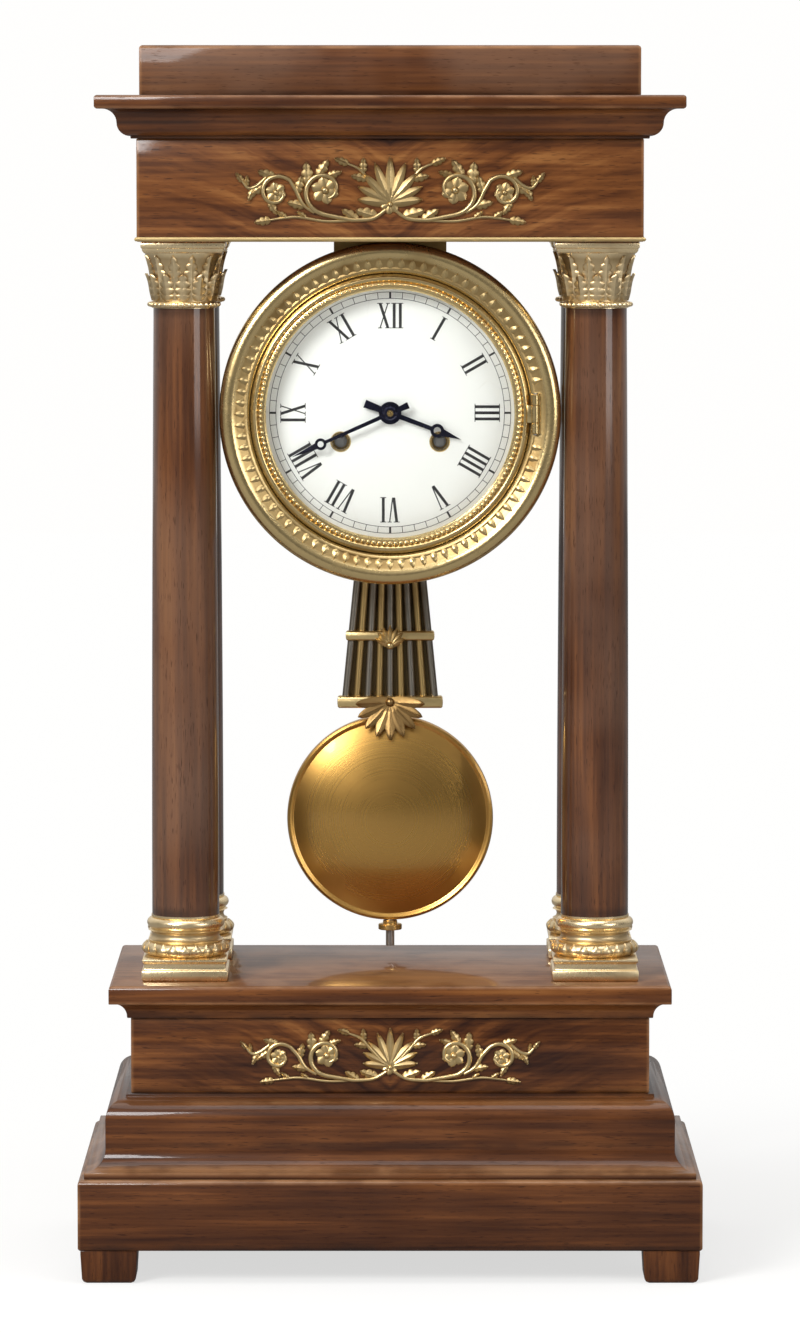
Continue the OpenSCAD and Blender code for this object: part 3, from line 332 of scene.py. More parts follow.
def finish(name, **fixed):
    """A material with fixed values, and the wire its nodes start from."""
    material = bpy.data.materials.new(name)
    material.use_nodes = True
    shader = material.node_tree.nodes["Principled BSDF"]
    for socket, value in fixed.items():
        shader.inputs[socket.replace("_", " ")].default_value = value
    return material, Wire(material.node_tree)


def feed(material, **wires):
    """Links wires to the shader's sockets."""
    shader = material.node_tree.nodes["Principled BSDF"]
    for socket, wire in wires.items():
        wire.join(wire, shader.inputs[socket.replace("_", " ")])


def mahogany(
    name, run="X", mitre=None, feather=0, tone=0, seed=0, polish=0.4, dusk=0, marks=(), corner=None
):
    """French-polished mahogany. run is the way of the grain; with a mitre, a half size, the
    side pieces run front to back. feather is the strength of a book-matched crotch figure, dusk
    how far the colour has faded. A mark is a height, its spread, and an amount: above 0 the
    colour is painted darker there, as dirt and painted shade at joints, in hollows and under
    overhangs; below 0 it is painted lighter, as a painted highlight on arrises and fillets.
    corner is the half size at which upright arrises are rubbed light by wear."""
    # The third colour darkens marks above 0, as dirt and painted shade; the fourth lightens marks below 0,
    # as a painted highlight, and the upright arrises, as wear.
    faded, pore, grime_and_shade, wear_and_highlight = (
        (0.125, 0.079, 0.056), (0.020, 0.007, 0.004), (0.010, 0.0045, 0.003), (0.300, 0.150, 0.068),
    )
    rub_width = 1.6
    material, wood = finish(name, Coat_Roughness=0.08, Coat_IOR=1.45, Specular_IOR_Level=0.08)
    place = wood.place()
    x, y, z = place.split()
    along, across, up = (z, x, y) if run == "Z" else (x, y, z)
    if mitre:
        side = (abs(x) - abs(y)) > (mitre[0] - mitre[1]) * MM
        along, across = x + (y - x) * side, y + (x - y) * side

    def grain(stretch, fine, detail, distortion=0):
        spot = wood.node("CombineXYZ", X=along * stretch + seed, Y=across * fine, Z=up * fine)
        return wood.noise(spot, 1, detail, Distortion=distortion)

    ribbon = grain(5, 75, 4, 1.2)
    fibre = grain(14, 520, 4)
    cloud = wood.noise(place, 14 + seed, 2)
    pores = grain(190, 2300, 1).step(0.62, 0.74)
    figure = ribbon * 0.75 + fibre * 0.55 + cloud * 0.35 - 0.325 + tone
    if feather:
        out = abs(x)
        folded = wood.node("CombineXYZ", X=out, Y=y, Z=z)
        wander = wood.noise(folded, 26, 3)
        plume = up - out * 0.62 + out * out * 2.6 + wander * 0.016
        spot = wood.node("CombineXYZ", X=plume * 210 + seed, Y=out * 26, Z=y * 26)
        flame = wood.noise(spot, 1, 3, Roughness=0.55)
        figure = figure + feather * (flame - 0.5) * (1 - 0.6 * out.step(0.035, 0.1))
    stops = [
        (0.18, (0.022, 0.0062, 0.0024)),
        (0.42, (0.066, 0.0205, 0.0054)),
        (0.60, (0.126, 0.0425, 0.0105)),
        (0.82, (0.215, 0.0870, 0.0240)),
    ]
    colour = wood.node("ValToRGB", {"stops": stops}, Fac=figure)
    if dusk:
        colour = (dusk * cloud.step(0.25, 0.7)).between(colour, faded)
    colour = (pores * 0.65).between(colour, pore)
    rub = wood.noise(place, 55, 3)
    ragged = 0.35 + 0.65 * rub.step(0.36, 0.62)
    # Each mark paints a band at one height: darker above 0, as dirt and painted shade; lighter below 0, as a
    # painted highlight.
    for height, spread, darkening in marks:
        near = (1 - abs(z - height * MM).step(0, spread * MM)) * ragged * abs(darkening)
        colour = near.between(colour, grime_and_shade if darkening > 0 else wear_and_highlight)
    if corner:
        near_x = abs(x).step((corner[0] - rub_width) * MM, corner[0] * MM)
        near_y = abs(y).step((corner[1] - rub_width) * MM, corner[1] * MM)
        colour = (near_x * near_y * ragged * 0.6).between(colour, wear_and_highlight)
    feed(
        material,
        Base_Color=colour,
        Roughness=0.36 + rub * 0.16 - figure * 0.06,
        Coat_Weight=polish + rub * 0.3 - pores * 0.3,
        Normal=wood.node("Bump", Strength=0.12, Distance=0.0004, Height=fibre * 0.4 - pores * 0.8),
    )
    return material


def carried(name, pieces, material, body, slot, *nodes):
    """Joins, names and dresses a piece, puts it on its body and hides the nodes it stands for."""
    piece = joined(pieces)
    piece.name = piece.data.name = name
    piece.data.materials.clear()
    piece.data.materials.append(material)
    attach(piece, body)
    if nodes:
        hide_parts(*nodes)


def cabinet(name, node, wood, outline, marks=(), walls=None, arris=0.3, mitred=True, wear_and_highlight=False, **look):
    """A mahogany piece of the case, whose outline and marks count heights from the node's foot."""
    half, foot, _ = extent(node)
    piece = moulded(half, [(out, foot + z) for out, z in outline], walls=walls, arris=arris)
    look["marks"] = [(foot + z, spread, darkening) for z, spread, darkening in marks]
    look["mitre"], look["corner"] = mitred and half, wear_and_highlight and half
    carried(name, [piece], mahogany(wood, **look), "case", "mahogany", node)


half, _, top = extent("feet")
foot_outline = [(-2.4, 0), (-1.2, 0.7), (-0.6, 1.8), (0, top - 1.5), (0, top)]
foot = moulded((FOOT_HALF, FOOT_HALF), foot_outline)
spots = [(x * (half[0] - FOOT_HALF), y * (half[1] - FOOT_HALF)) for x in (-1, 1) for y in (-1, 1)]
feet_wood = mahogany("mahogany_feet", "Z", tone=-0.14)
carried("block_feet", [stood(foot, spots)], feet_wood, "case", "mahogany", "feet")


# Plinth: four mahogany boards mitred round a hollow, the lowest and widest step of
# the base, with a thin rounded arris at its top.
PLINTH_WALLS, PLINTH_ROUND = 18, 2.2


def arc(centre, radius, start, end, steps=8):
    """Points on an arc, from one angle in degrees to another."""
    angles = [radians(start + (end - start) * i / steps) for i in range(steps + 1)]
    return [(centre[0] + radius * cos(a), centre[1] + radius * sin(a)) for a in angles]


def tall(node):
    """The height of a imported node, in mm."""
    _, foot, head = extent(node)
    return head - foot


top = tall("plinth")
# The plinth's colour is painted darker at its foot, as dirt and painted shade, and lighter along its top
# arris, as a painted highlight.
cabinet(
    "plinth_frame", "plinth", "mahogany_plinth",
    [(-0.8, 0), (0, 0.8), *arc((-PLINTH_ROUND, top - PLINTH_ROUND), PLINTH_ROUND, 0, 90, 6)],
    marks=[(0, 4, 0.7), (top - 0.2, 2.2, -0.75)], walls=PLINTH_WALLS, wear_and_highlight=True, tone=-0.12, seed=3.1,
)


# Base moulding: a run of cove and half-round planed in mahogany and mitred at the
# corners, leading from the plinth up to the box. Its colour is painted darker at the foot,
# in the quirk above the cove and at the top, as dirt and painted shade, and lighter just
# above the foot and below the top, as a painted highlight.
RUN_WALLS, LIP, QUIRK, COVE, ROUND = 27.5, 2.5, 12.7, 8.375, 8.125
top = tall("base_moulding")
cabinet(
    "base_run", "base_moulding", "mahogany_run",
    [
        (0, 0), (0, LIP),
        *arc((0, LIP + COVE), COVE, 270, 180, 10),
        (-COVE, QUIRK),
        *arc((-COVE - ROUND, top - 1.5 - ROUND), ROUND, 0, 90, 10),
        (-COVE - ROUND, top),
    ],
    marks=[(0, 1, 0.6), (3.1, 2.6, -0.7), (QUIRK, 2.2, 0.5), (top, 2, 0.7), (top - 3, 1.8, -0.3)],
    walls=RUN_WALLS, tone=-0.07, seed=5.7,
)


# Base box: the tall part of the base, veneered in front with a book-matched crotch
# figure under a gilt mount; its boards are joined round a hollow.
BOARD = 9
top = tall("base_box")
# Its colour is painted darker along its foot and its top, as dirt and painted shade at the joints and under
# the slab.
cabinet(
    "base_case", "base_box", "crotch_base", [(0, 0), (0, top)], marks=[(0, 3, 0.6), (top, 3, 0.6)],
    walls=BOARD, arris=0.5, wear_and_highlight=True, feather=1.15, tone=-0.03, seed=1.3,
)


# Base top: a solid mahogany slab with a cove under its edge, on which the columns
# stand. Its colour is painted lighter on the top arris and at the top of the cove, as a
# painted highlight, and darker at its foot, as dirt and painted shade at the joint.
SLAB_COVE, SLAB_IN = 6, -7.2
top = tall("base_top")
cabinet(
    "base_slab", "base_top", "mahogany_slab",
    [
        (SLAB_IN - 1.5, 0), (SLAB_IN, 0), (SLAB_IN, 0.5),
        *arc((SLAB_IN + SLAB_COVE, 0.5), SLAB_COVE, 180, 90, 8),
        (0, SLAB_COVE + 0.5), (0, top - 1.6), (-0.4, top - 0.5), (-1.2, top),
    ],
    marks=[(0, 2.5, 0.7), (SLAB_COVE + 0.6, 1.5, -0.4), (top - 0.4, 1.3, -0.6)],
    arris=0.35, mitred=False, tone=0.02, seed=8.9, polish=0.3,
)


# Columns: four mahogany shafts turned with a slight swelling, each threaded on an
# iron tie rod between its gilt base and capital.
SHAFT_RADIUS, NECK, PLAIN, STEPS = 13.75, 12.5, 4, 16


def middle(node):
    """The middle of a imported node, in mm."""
    return [(low + high) / 2 for low, high in zip(*corners_of(node))]


def turned(outline, sides=64, ring=False, smooth=35):
    """A piece turned about Z through an outline of (radius, height); a ring closes on itself."""
    rows = [(r, r, z) for r, z in outline]
    fill = "NOTHING" if ring else "NGON"
    start = (0, 0, rows[0][2] * MM)
    bpy.ops.mesh.primitive_circle_add(vertices=sides, radius=rows[0][0] * MM, fill_type=fill, location=start)
    piece = bpy.context.object
    begin(piece)
    if ring:
        bpy.ops.mesh.select_mode(type="EDGE")
        bpy.ops.mesh.select_all(action="SELECT")
    draw_up(rows)
    if ring:
        bridge_ends()
    return close_up(piece, 0, smooth)


column_x, column_y, _ = middle("column_rear_right")
column_spots = [(x * column_x, y * column_y) for x in (-1, 1) for y in (-1, 1)]
_, foot, head = extent("column_rear_right")
shaft_outline = [(SHAFT_RADIUS, foot)]
for t in (i / STEPS for i in range(STEPS + 1)):
    radius = SHAFT_RADIUS - (SHAFT_RADIUS - NECK) * t ** 1.7
    shaft_outline.append((radius, foot + PLAIN + (head - foot - 2 * PLAIN) * t))
shaft = turned([*shaft_outline, (NECK, head)], sides=72)
# Each shaft's colour is painted darker near both ends, as dirt and painted shade at the base and under the
# capital.
shaft_marks = [(foot + 1, 4, 0.6), (head - 1, 4, 0.6)]
for i, (x, y) in enumerate(column_spots):
    corner = ("front" if y < 0 else "rear") + ("_left" if x < 0 else "_right")
    column = copy_at(shaft, shift(x, y, 0))
    shaft_wood = mahogany(
        f"mahogany_shaft_{i}", "Z", tone=-0.06, seed=2.3 * i, polish=0.85, dusk=0.4, marks=shaft_marks
    )
    carried(f"shaft_{corner}", [column], shaft_wood, "case", "mahogany", f"column_{corner}")
bpy.data.objects.remove(shaft)


# Column bases: cast and fire-gilt bronze, a square foot under two rolls with a hollow
# between them; the lower roll is chased with upright leaves that wrap it.
UPRIGHT = (0, 0, 1)
BASE_HALF, ROLL_FOOT, ROLL_LEAVES = 17.5, 9.36, 22


def leaf(length, width, relief, curl=0, lobes=0, point=0.75, rows=10, cols=6, out=None, thick=0.5):
    """A cast leaf seen from the front: x across, z along it, -y towards the eye. A low
    point rounds its tip, and out says how far its middle line stands forward on the way."""
    bpy.ops.mesh.primitive_grid_add(x_subdivisions=cols, y_subdivisions=rows, size=2)
    piece = bpy.context.object
    hollow = piece.data.attributes.new("hollow", "FLOAT", "POINT")
    for i, vertex in enumerate(piece.data.vertices):
        u, t = vertex.co.x, vertex.co.y * 0.5 + 0.5
        spread = sin(pi * (0.06 + 0.94 * t) ** 0.72) ** point if t < 0.999 else 0.05
        notch = abs(sin(pi * lobes * t)) if lobes else 1
        spread *= 0.72 + 0.28 * notch ** 0.6
        rib = 0.45 * max(0, 1 - 4 * abs(u)) + 0.16 * cos(3 * pi * u)
        stand = relief * ((1 - u * u) * 0.8 + rib * (1 - t * 0.6))
        stand *= 0.35 + 0.65 * sin(pi * min(t, 0.5))
        stand += curl * t ** 3 + (out(t) if out else 0) - 0.25 * relief * u * u * (1 - notch)
        lean = 0.06 * length * u * u * notch if lobes else 0
        vertex.co = (u * spread * width / 2 * MM, -stand * MM, (t * length + lean * (1 - t)) * MM)
        dull = 0.12 + 0.6 * u * u + 0.35 * (1 - t) ** 2 + 0.35 * abs(u) * (1 - notch)
        hollow.data[i].value = min(1, dull)
    applied(piece, "SOLIDIFY", thickness=thick * MM, offset=-1)
    begin(piece)
    return close_up(piece, 0, 50)


def ring_of(piece, count, axis, left_out=0, height=0):
    """Repeats a piece round an axis in its own mesh, leaves out the last places, and raises it."""
    turns = count - 1 - left_out
    sweep = 2 * pi * turns / count
    begin(piece)
    bpy.ops.mesh.spin(steps=turns, dupli=True, angle=sweep, center=(0, 0, 0), axis=axis)
    bpy.ops.object.mode_set(mode="OBJECT")
    piece.data.transform(shift(0, 0, height))


def gilt(name, rough=0.24, gold_tone=(0.80, 0.60, 0.285)):
    """Fire-gilt bronze: burnished on the heights, matt and browner in the hollows."""
    material, gold = finish(name, Metallic=1)
    place = gold.place()
    hollow = gold.node("Attribute", {"attribute_name": "hollow"}, "Fac")
    wash = gold.noise(place, 60, 4)
    speck = gold.noise(place, 900, 2)
    dull = gold.sum("ADD", hollow * 0.8, wash.step(0.5, 0.72) * 0.4, clamp=True)
    feed(
        material,
        Base_Color=dull.between(gold_tone, (0.30, 0.185, 0.066)),
        Roughness=rough + dull * 0.26 + speck * 0.08,
        Normal=gold.node("Bump", Strength=0.16, Distance=0.0003, Height=speck + wash * 0.7),
    )
    return material


def dulled(piece, how_dull):
    """Marks the hollows of a piece: how_dull gives 0 to 1 from a point's radius and height."""
    hollow = piece.data.attributes.new("hollow", "FLOAT", "POINT")
    for i, vertex in enumerate(piece.data.vertices):
        hollow.data[i].value = how_dull(hypot(vertex.co.x, vertex.co.y) / MM, vertex.co.z / MM)


mount_gold = gilt("gilt_bronze_cast", gold_tone=(0.98, 0.78, 0.47))
base_rows = [
    (-0.8, 0), (0, 0.8), (0, 4.4), (-0.9, 4.9), (-0.9, 7.4), (-0.2, 8), (-0.2, 8.9), (-1.2, ROLL_FOOT),
]
base_foot = moulded((BASE_HALF, BASE_HALF), base_rows, arris=0.25)
roll_rows = [
    (14.65, ROLL_FOOT),
    *arc((14.65, 12.133), 2.773, -80, 85, 10),
    (15, 15),
    *arc((15.65, 17.68), 1.95, 262, 98, 8),
    *arc((13.65, 22.67), 2.218, -75, 88, 8),
    (14.05, 25.2), (14.05, 26), (13.2, 26),
]
rolls = turned(roll_rows, sides=72)
dulled(rolls, lambda r, z: 0.6 if r < 15.2 and 14.95 < z < 20.5 else 0.3 if z < 14.95 else 0)
roll_leaf = leaf(
    5.4, 4.6, 0.5, rows=6, cols=4, thick=0.35,
    out=lambda t: 15.15 + 2.55 * cos(radians(78 - 156 * t)),
)
roll_leaf.data.transform(shift(0, 0, 9.5))
ring_of(roll_leaf, ROLL_LEAVES, UPRIGHT)
gilt_bases = stood(joined([base_foot, rolls, roll_leaf]), column_spots, extent("column_bases")[1])
carried("gilt_column_bases", [gilt_bases], mount_gold, "case", "gilt_bronze", "column_bases")


# Capitals: cast and gilt, a beaded collar under a bell dressed with two rows of
# leaves that curl out at the tips, and a square top with hollowed edges.
ABACUS_HALF, ABACUS_FOOT, BELL_LEAVES = 17, 22.41, 12
COLLAR_RADIUS, COLLAR_HEIGHT, COLLAR_BEADS = 13.1, 1.4, 34


def bead(radius, spot):
    """A small cast bead."""
    place = [c * MM for c in spot]
    bpy.ops.mesh.primitive_uv_sphere_add(segments=10, ring_count=6, radius=radius * MM, location=place)
    piece = bpy.context.object
    begin(piece)
    return close_up(piece, 0, 80)


bell_rows = [
    (12.4, 0), (COLLAR_RADIUS, 0),
    *arc((COLLAR_RADIUS, COLLAR_HEIGHT), 1.2, -90, 90, 8),
    (12.6, 2.7), (12.6, 5), (12.75, 9), (13.1, 13), (13.8, 17), (14.7, 20), (16, 22), (16, ABACUS_FOOT),
]
bell = turned(bell_rows)
dulled(bell, lambda r, z: 0.6 if 2.65 < z < 20.1 else 0)
abacus_rows = [(-1.3, ABACUS_FOOT), (-0.6, 23.4), (-0.5, 24.2), (0, 24.7), (0, 26.6), (-0.4, 27)]
abacus = moulded((ABACUS_HALF, ABACUS_HALF), abacus_rows, arris=0.2)
low_leaf = leaf(11, 7.4, 1, curl=1.8, lobes=4, point=0.6, rows=24, out=lambda t: 12.7 + 0.5 * t)
low_leaf.data.transform(shift(0, 0, 2.9))
high_leaf = leaf(17.8, 7, 0.9, curl=1.2, lobes=6, point=0.6, rows=30, out=lambda t: 12.6 + 1.7 * t ** 2)
high_leaf.data.transform(turn(180 / BELL_LEAVES, "Z") @ shift(0, 0, 3.5))
collar = bead(0.95, (0, -COLLAR_RADIUS - 0.95, COLLAR_HEIGHT))
for dressing, count in ((low_leaf, BELL_LEAVES), (high_leaf, BELL_LEAVES), (collar, COLLAR_BEADS)):
    ring_of(dressing, count, UPRIGHT)
capital = joined([bell, abacus, low_leaf, high_leaf, collar])
gilt_caps = stood(capital, column_spots, extent("capitals")[1])
carried("gilt_capitals", [gilt_caps], mount_gold, "case", "gilt_bronze", "capitals")


# Tie rods: plain iron rods with square nuts that draw base and entablature together,
# out of sight inside the columns. They are left as forged.
def plain_metal(name, colour, dark, rough, run, fine, worn=0.5):
    """A worked metal: grained one way by the abrasive, with tarnish in soft patches."""
    coarse = 40
    material, metal = finish(name, Metallic=1)
    place = metal.place()
    grain = {axis: wire * (coarse if axis == run else fine) for axis, wire in zip("XYZ", place.split())}
    scratch = metal.noise(metal.node("CombineXYZ", **grain), 1, 2)
    patch = metal.noise(place, 42, 4)
    tarnish = patch.step(0.46, 0.74) * worn
    feed(
        material,
        Base_Color=tarnish.between(colour, dark),
        Roughness=rough + tarnish * 0.25 + scratch * 0.12,
        Normal=metal.node("Bump", Strength=0.07, Distance=0.0002, Height=scratch),
    )
    return material


def dress(material, *nodes):
    """Gives CAD nodes that stay as they are a worked finish."""
    for node in nodes:
        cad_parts[node].data.materials.clear()
        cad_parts[node].data.materials.append(material)


iron = plain_metal("forged_iron", (0.17, 0.155, 0.145), (0.10, 0.055, 0.035), 0.45, "Z", 700, 0.8)
dress(iron, "tie_rods")


# Soffit and frieze: a mahogany board screwed inside a box whose front is veneered with
# a book-matched crotch figure; a thin gilt fillet is pinned along its foot.
FILLET_MIDDLE, FILLET_HALF, FILLET_ROUND = 1, 0.8, 0.6
soffit_rows = [(0, 0), (0, tall("soffit_board"))]
cabinet("soffit_panel", "soffit_board", "mahogany_soffit", soffit_rows, mitred=False, tone=-0.02, seed=6.1)
top = tall("frieze_box")
# The frieze's colour is painted darker along its top, as dirt and painted shade under the cornice, and
# around the gilt fillet at its foot.
cabinet(
    "frieze_case", "frieze_box", "crotch_frieze", [(0, 0), (0, top)], marks=[(top, 3, 0.6), (2, 2.5, 0.4)],
    walls=BOARD, arris=0.5, wear_and_highlight=True, feather=1.15, tone=0.07, seed=4.4,
)
half, foot, _ = extent("frieze_box")
z = foot + FILLET_MIDDLE
fillet_rows = [(0.4, z - FILLET_HALF), *arc((0.35, z), FILLET_ROUND, -75, 75, 6), (0.4, z + FILLET_HALF)]
fillet = moulded(half, fillet_rows, walls=0.2, arris=0)
carried("frieze_fillet", [fillet], gilt("gilt_fillet", rough=0.3), "case", "gilt_bronze")


# Cornice and attic: a mitred run of half-round and cove that carries the flat top
# block, all in plain dark mahogany.
REACH, ROOT, HALF_ROUND, COVE = -16.3, -14.1, 5.4, 5.6
top, mid = tall("cornice"), 1 + HALF_ROUND
# The cornice's colour is painted darker at its foot and where the half-round meets the cove, as dirt and
# painted shade, and lighter on its top arris and on the small step at 12.5 mm, as a painted highlight.
cabinet(
    "cornice_run", "cornice", "mahogany_cornice",
    [
        (REACH, 0), (ROOT, 0), (ROOT, 1),
        *arc((ROOT, mid), HALF_ROUND, -90, 0, 8),
        *arc((ROOT + HALF_ROUND + COVE, mid), COVE, 180, 90, 8),
        (-1, 12), (-0.2, 12.5), (0, 13.1), (0, top - 1), (-0.3, top - 0.3), (-1.1, top),
    ],
    marks=[(0.5, 1.8, 0.6), (mid + 0.1, 1.4, 0.5), (top - 0.6, 1.2, -0.5), (12.5, 1, -0.35)],
    tone=-0.08, seed=7.7,
)
top = tall("attic_block")
# The attic's colour is painted darker at its foot, as dirt and painted shade, and lighter along its top
# arris, as a painted highlight.
cabinet(
    "attic_top", "attic_block", "mahogany_attic", [(0, 0), (0, top - 1.2), (-0.4, top - 0.4), (-1.2, top)],
    marks=[(0, 2.5, 0.7), (top - 0.8, 1.2, -0.6)], mitred=False, wear_and_highlight=True,
    tone=-0.02, seed=9.3, polish=0.05, dusk=0.45,
)


# Mounts: pierced gilt castings pinned to the frieze and the base box. A palmette in
# the middle sends out two scrolling stems with leaves and small flowers.
FORWARD, SIDEWAYS = (0, 1, 0), (1, 0, 0)
MOUNT_PROUD = 0.55


def stem(points, thin, thick):
    """A round stem that follows points on the panel and tapers to its ends."""
    curve = bpy.data.curves.new("stem", "CURVE")
    curve.dimensions, curve.bevel_depth, curve.bevel_resolution = "3D", MM, 2
    curve.use_fill_caps = True
    line = curve.splines.new("POLY")
    line.points.add(len(points) - 1)
    for i, (x, z) in enumerate(points):
        t = i / (len(points) - 1)
        line.points[i].co = (x * MM, 0, z * MM, 1)
        line.points[i].radius = thin + (thick - thin) * sin(pi * min(1, 0.12 + 0.9 * t)) ** 0.8
    piece = bpy.data.objects.new("stem", curve)
    scene.collection.objects.link(piece)
    alone(piece)
    bpy.ops.object.convert(target="MESH")
    piece = bpy.context.object
    begin(piece)
    return close_up(piece, 0, 60)


def spiral(centre, big, small, start, end, steps):
    """Points that wind from a wide radius into a small one."""
    points = []
    for t in (i / steps for i in range(steps + 1)):
        a, r = radians(start + (end - start) * t), big + (small - big) * t ** 0.8
        points.append((centre[0] + r * cos(a), centre[1] + r * sin(a)))
    return points


def laid(piece, x, z, facing):
    """Moves a piece on the panel: turned clockwise from upright, then set at x, z."""
    piece.data.transform(shift(x, 0, z) @ turn(facing, "Y"))
    return piece


def bend(points, steps=7):
    """A smooth line through a few points."""
    ends, line = [points[0], *points, points[-1]], []
    for a, b, c, d in zip(ends, ends[1:], ends[2:], ends[3:]):
        for t in (i / steps for i in range(steps)):
            line.append([
                q + 0.5 * t * (r - p + t * (2 * p - 5 * q + 4 * r - s + t * (3 * (q - r) + s - p)))
                for p, q, r, s in zip(a, b, c, d)
            ])
    return [*line, points[-1]]


def fan(count, start, step, length, less, width, relief, **form):
    """Leaves spread from one point clockwise, the middle one longest and each next one less."""
    leaves = []
    for i in range(count):
        blade = leaf(length - less * abs(i - count // 2), width, relief, **form)
        leaves.append(laid(blade, 0, 0, start + step * i))
    return joined(leaves)


def flower(x, z, size):
    """A small open flower: six round petals about a bead."""
    petal = leaf(size, size * 0.9, 0.55, point=0.4, rows=8, cols=4, thick=0.4)
    petal.data.transform(shift(0, 0, size * 0.04))
    ring_of(petal, 6, FORWARD)
    eye = bead(size * 0.28, (0, -0.6, 0))
    return laid(joined([petal, eye]), x, z, 12)


def scroll_mount(half, h, panel):
    """One pierced casting, h tall, made on the panel plane and mirrored about its middle."""
    def spots(*shares):
        return [(half * across, h * up) for across, up in shares]

    palm = fan(9, -84, 21, h * 0.62, h * 0.045, h * 0.135, 0.8, curl=0.55, point=0.5, rows=14, cols=4)
    laid(palm, 0, -h * 0.17, 0)
    eye = flower(0, -h * 0.19, h * 0.13)
    (one, two), big, small = spots((0.43, 0), (0.755, -0.03)), h * 0.33, h * 0.25
    root = bend([(h * 0.06, -h * 0.26), *spots((0.12, -0.38), (0.27, -0.40))])[:-1]
    fork = bend(spots((0.50, -0.30), (0.575, -0.19), (0.625, 0.01)))[:-1]
    stems = [
        root + spiral(one, big, big * 0.3, 268, 640, 60),
        fork + spiral(two, small, small * 0.3, 140, -250, 50),
        bend(spots((0.82, 0.17), (0.88, 0.06), (0.935, 0.03), (0.975, 0.12))),
        bend([(h * 0.10, -h * 0.12), *spots((0.13, 0.10), (0.20, 0.28), (0.285, 0.36))]),
        bend(spots((0.22, -0.40), (0.42, -0.415), (0.60, -0.36), (0.70, -0.37), (0.80, -0.40))),
    ]
    # Each sprig: its stem, how far along, how it leans, its length as a share of the height.
    sprigs = [
        (0, 0.07, -44, 0.30), (0, 0.16, -34, 0.26), (0, 0.44, 36, 0.30), (0, 0.53, 42, 0.26),
        (0, 0.62, 40, 0.20), (1, 0.10, 34, 0.24), (1, 0.20, -40, 0.24), (1, 0.33, -34, 0.24),
        (1, 0.44, -36, 0.22), (1, 0.62, -38, 0.20), (2, 0.45, 44, 0.20), (2, 0.98, 0, 0.16),
        (2, 0.80, -44, 0.15), (3, 0.45, 46, 0.22), (3, 0.60, -44, 0.20), (3, 0.97, 0, 0.20),
        (4, 0.72, -40, 0.16), (4, 0.97, 0, 0.22), (4, 0.45, -28, 0.15),
    ]
    wing = [stem(points, 0.42, 1.1 - 0.12 * i) for i, points in enumerate(stems)]
    for source, share, lean, size in sprigs:
        line = stems[source]
        at = min(len(line) - 2, int(share * (len(line) - 1)))
        (x, z), (next_x, next_z) = line[at], line[at + 1]
        facing = degrees(atan2(next_x - x, next_z - z)) + lean
        sprig = leaf(h * size, h * size * 0.56, 0.8, curl=0.5, lobes=3, point=0.6, rows=18, thick=0.45)
        wing.append(laid(sprig, x, z, facing))
    wing.append(flower(*one, big * 0.55))
    wing.append(flower(*two, small * 0.55))
    right = joined(wing)
    mount = joined([palm, eye, copy_at(right, Matrix.Scale(-1, 4, SIDEWAYS)), right])
    panel_half, foot, head = extent(panel)
    mount.data.transform(shift(0, -panel_half[1] - MOUNT_PROUD, (foot + head) / 2))
    return mount


frieze_mount = scroll_mount(half=61, h=30, panel="frieze_box")
frieze_gold = gilt("gilt_frieze_scrolls", 0.3, (0.55, 0.41, 0.20))
carried("gilt_frieze_mount", [frieze_mount], frieze_gold, "case", "gilt_bronze", "frieze_mount")
base_mount = scroll_mount(half=60, h=25.5, panel="base_box")
base_gold = gilt("gilt_base_scrolls", 0.27, (0.78, 0.585, 0.29))
carried("gilt_base_mount", [base_mount], base_gold, "case", "gilt_bronze", "base_mount")


# Hanger: a brass saddle filed to the drum's back and held to the soffit by four
# steel screws.
brass_plate = plain_metal("brass_plate", (0.62, 0.41, 0.15), (0.36, 0.21, 0.075), 0.26, "X", 1800)
steel_work = plain_metal("steel_work", (0.46, 0.45, 0.44), (0.22, 0.19, 0.16), 0.24, "Y", 1600)
dress(brass_plate, "drum_hanger")
dress(steel_work, "hanger_screws")


# Drum: a tube of rolled brass, seamed at the top and slotted below for the pendulum;
# a pair of hinge lugs for the rear door is soldered at its back.
DIAL_Z = middle("dial")[2]
DRUM_FRONT = -corners_of("drum")[0][1]
DRUM_RADIUS, DRUM_BORE, DRUM_BACK = 56, 54.5, -44
LUGS, KNUCKLE = ((-8, -3.7), (3.7, 8)), 3.5
REAR_PIN = (57.8, 46.4)


def cut_out(piece, cutter):
    """Takes the cutter's shape out of a piece."""
    applied(piece, "BOOLEAN", operation="DIFFERENCE", solver="EXACT", object=cutter)
    bpy.data.objects.remove(cutter)
    bpy.ops.object.shade_smooth_by_angle(angle=radians(35))


def to_front(piece, x=0, z=DIAL_Z, front=0):
    """Lays a turned piece on its side, so that what was up faces the front."""
    piece.data.transform(shift(x, -front, z) @ turn(90, "X"))
    return piece


def block(low, high, arris=0.2):
    """A squared block between two corners, whose heights count from the dial's middle."""
    half = [(b - a) / 2 for a, b in zip(low, high)]
    centre = [(a + b) / 2 for a, b in zip(low, high)]
    rows = [(0, DIAL_Z + low[2]), (0, DIAL_Z + high[2])]
    return moulded(half[:2], rows, centre=centre[:2], arris=arris)


def knuckle(pin, low, high):
    """A hinge knuckle bored for its pin."""
    rows = [(0.72, low), (1.4, low), (1.6, low + 0.2), (1.6, high - 0.2), (1.4, high), (0.72, high)]
    piece = turned([(r, DIAL_Z + z) for r, z in rows], sides=24, ring=True)
    piece.data.transform(shift(*pin, 0))
    return piece


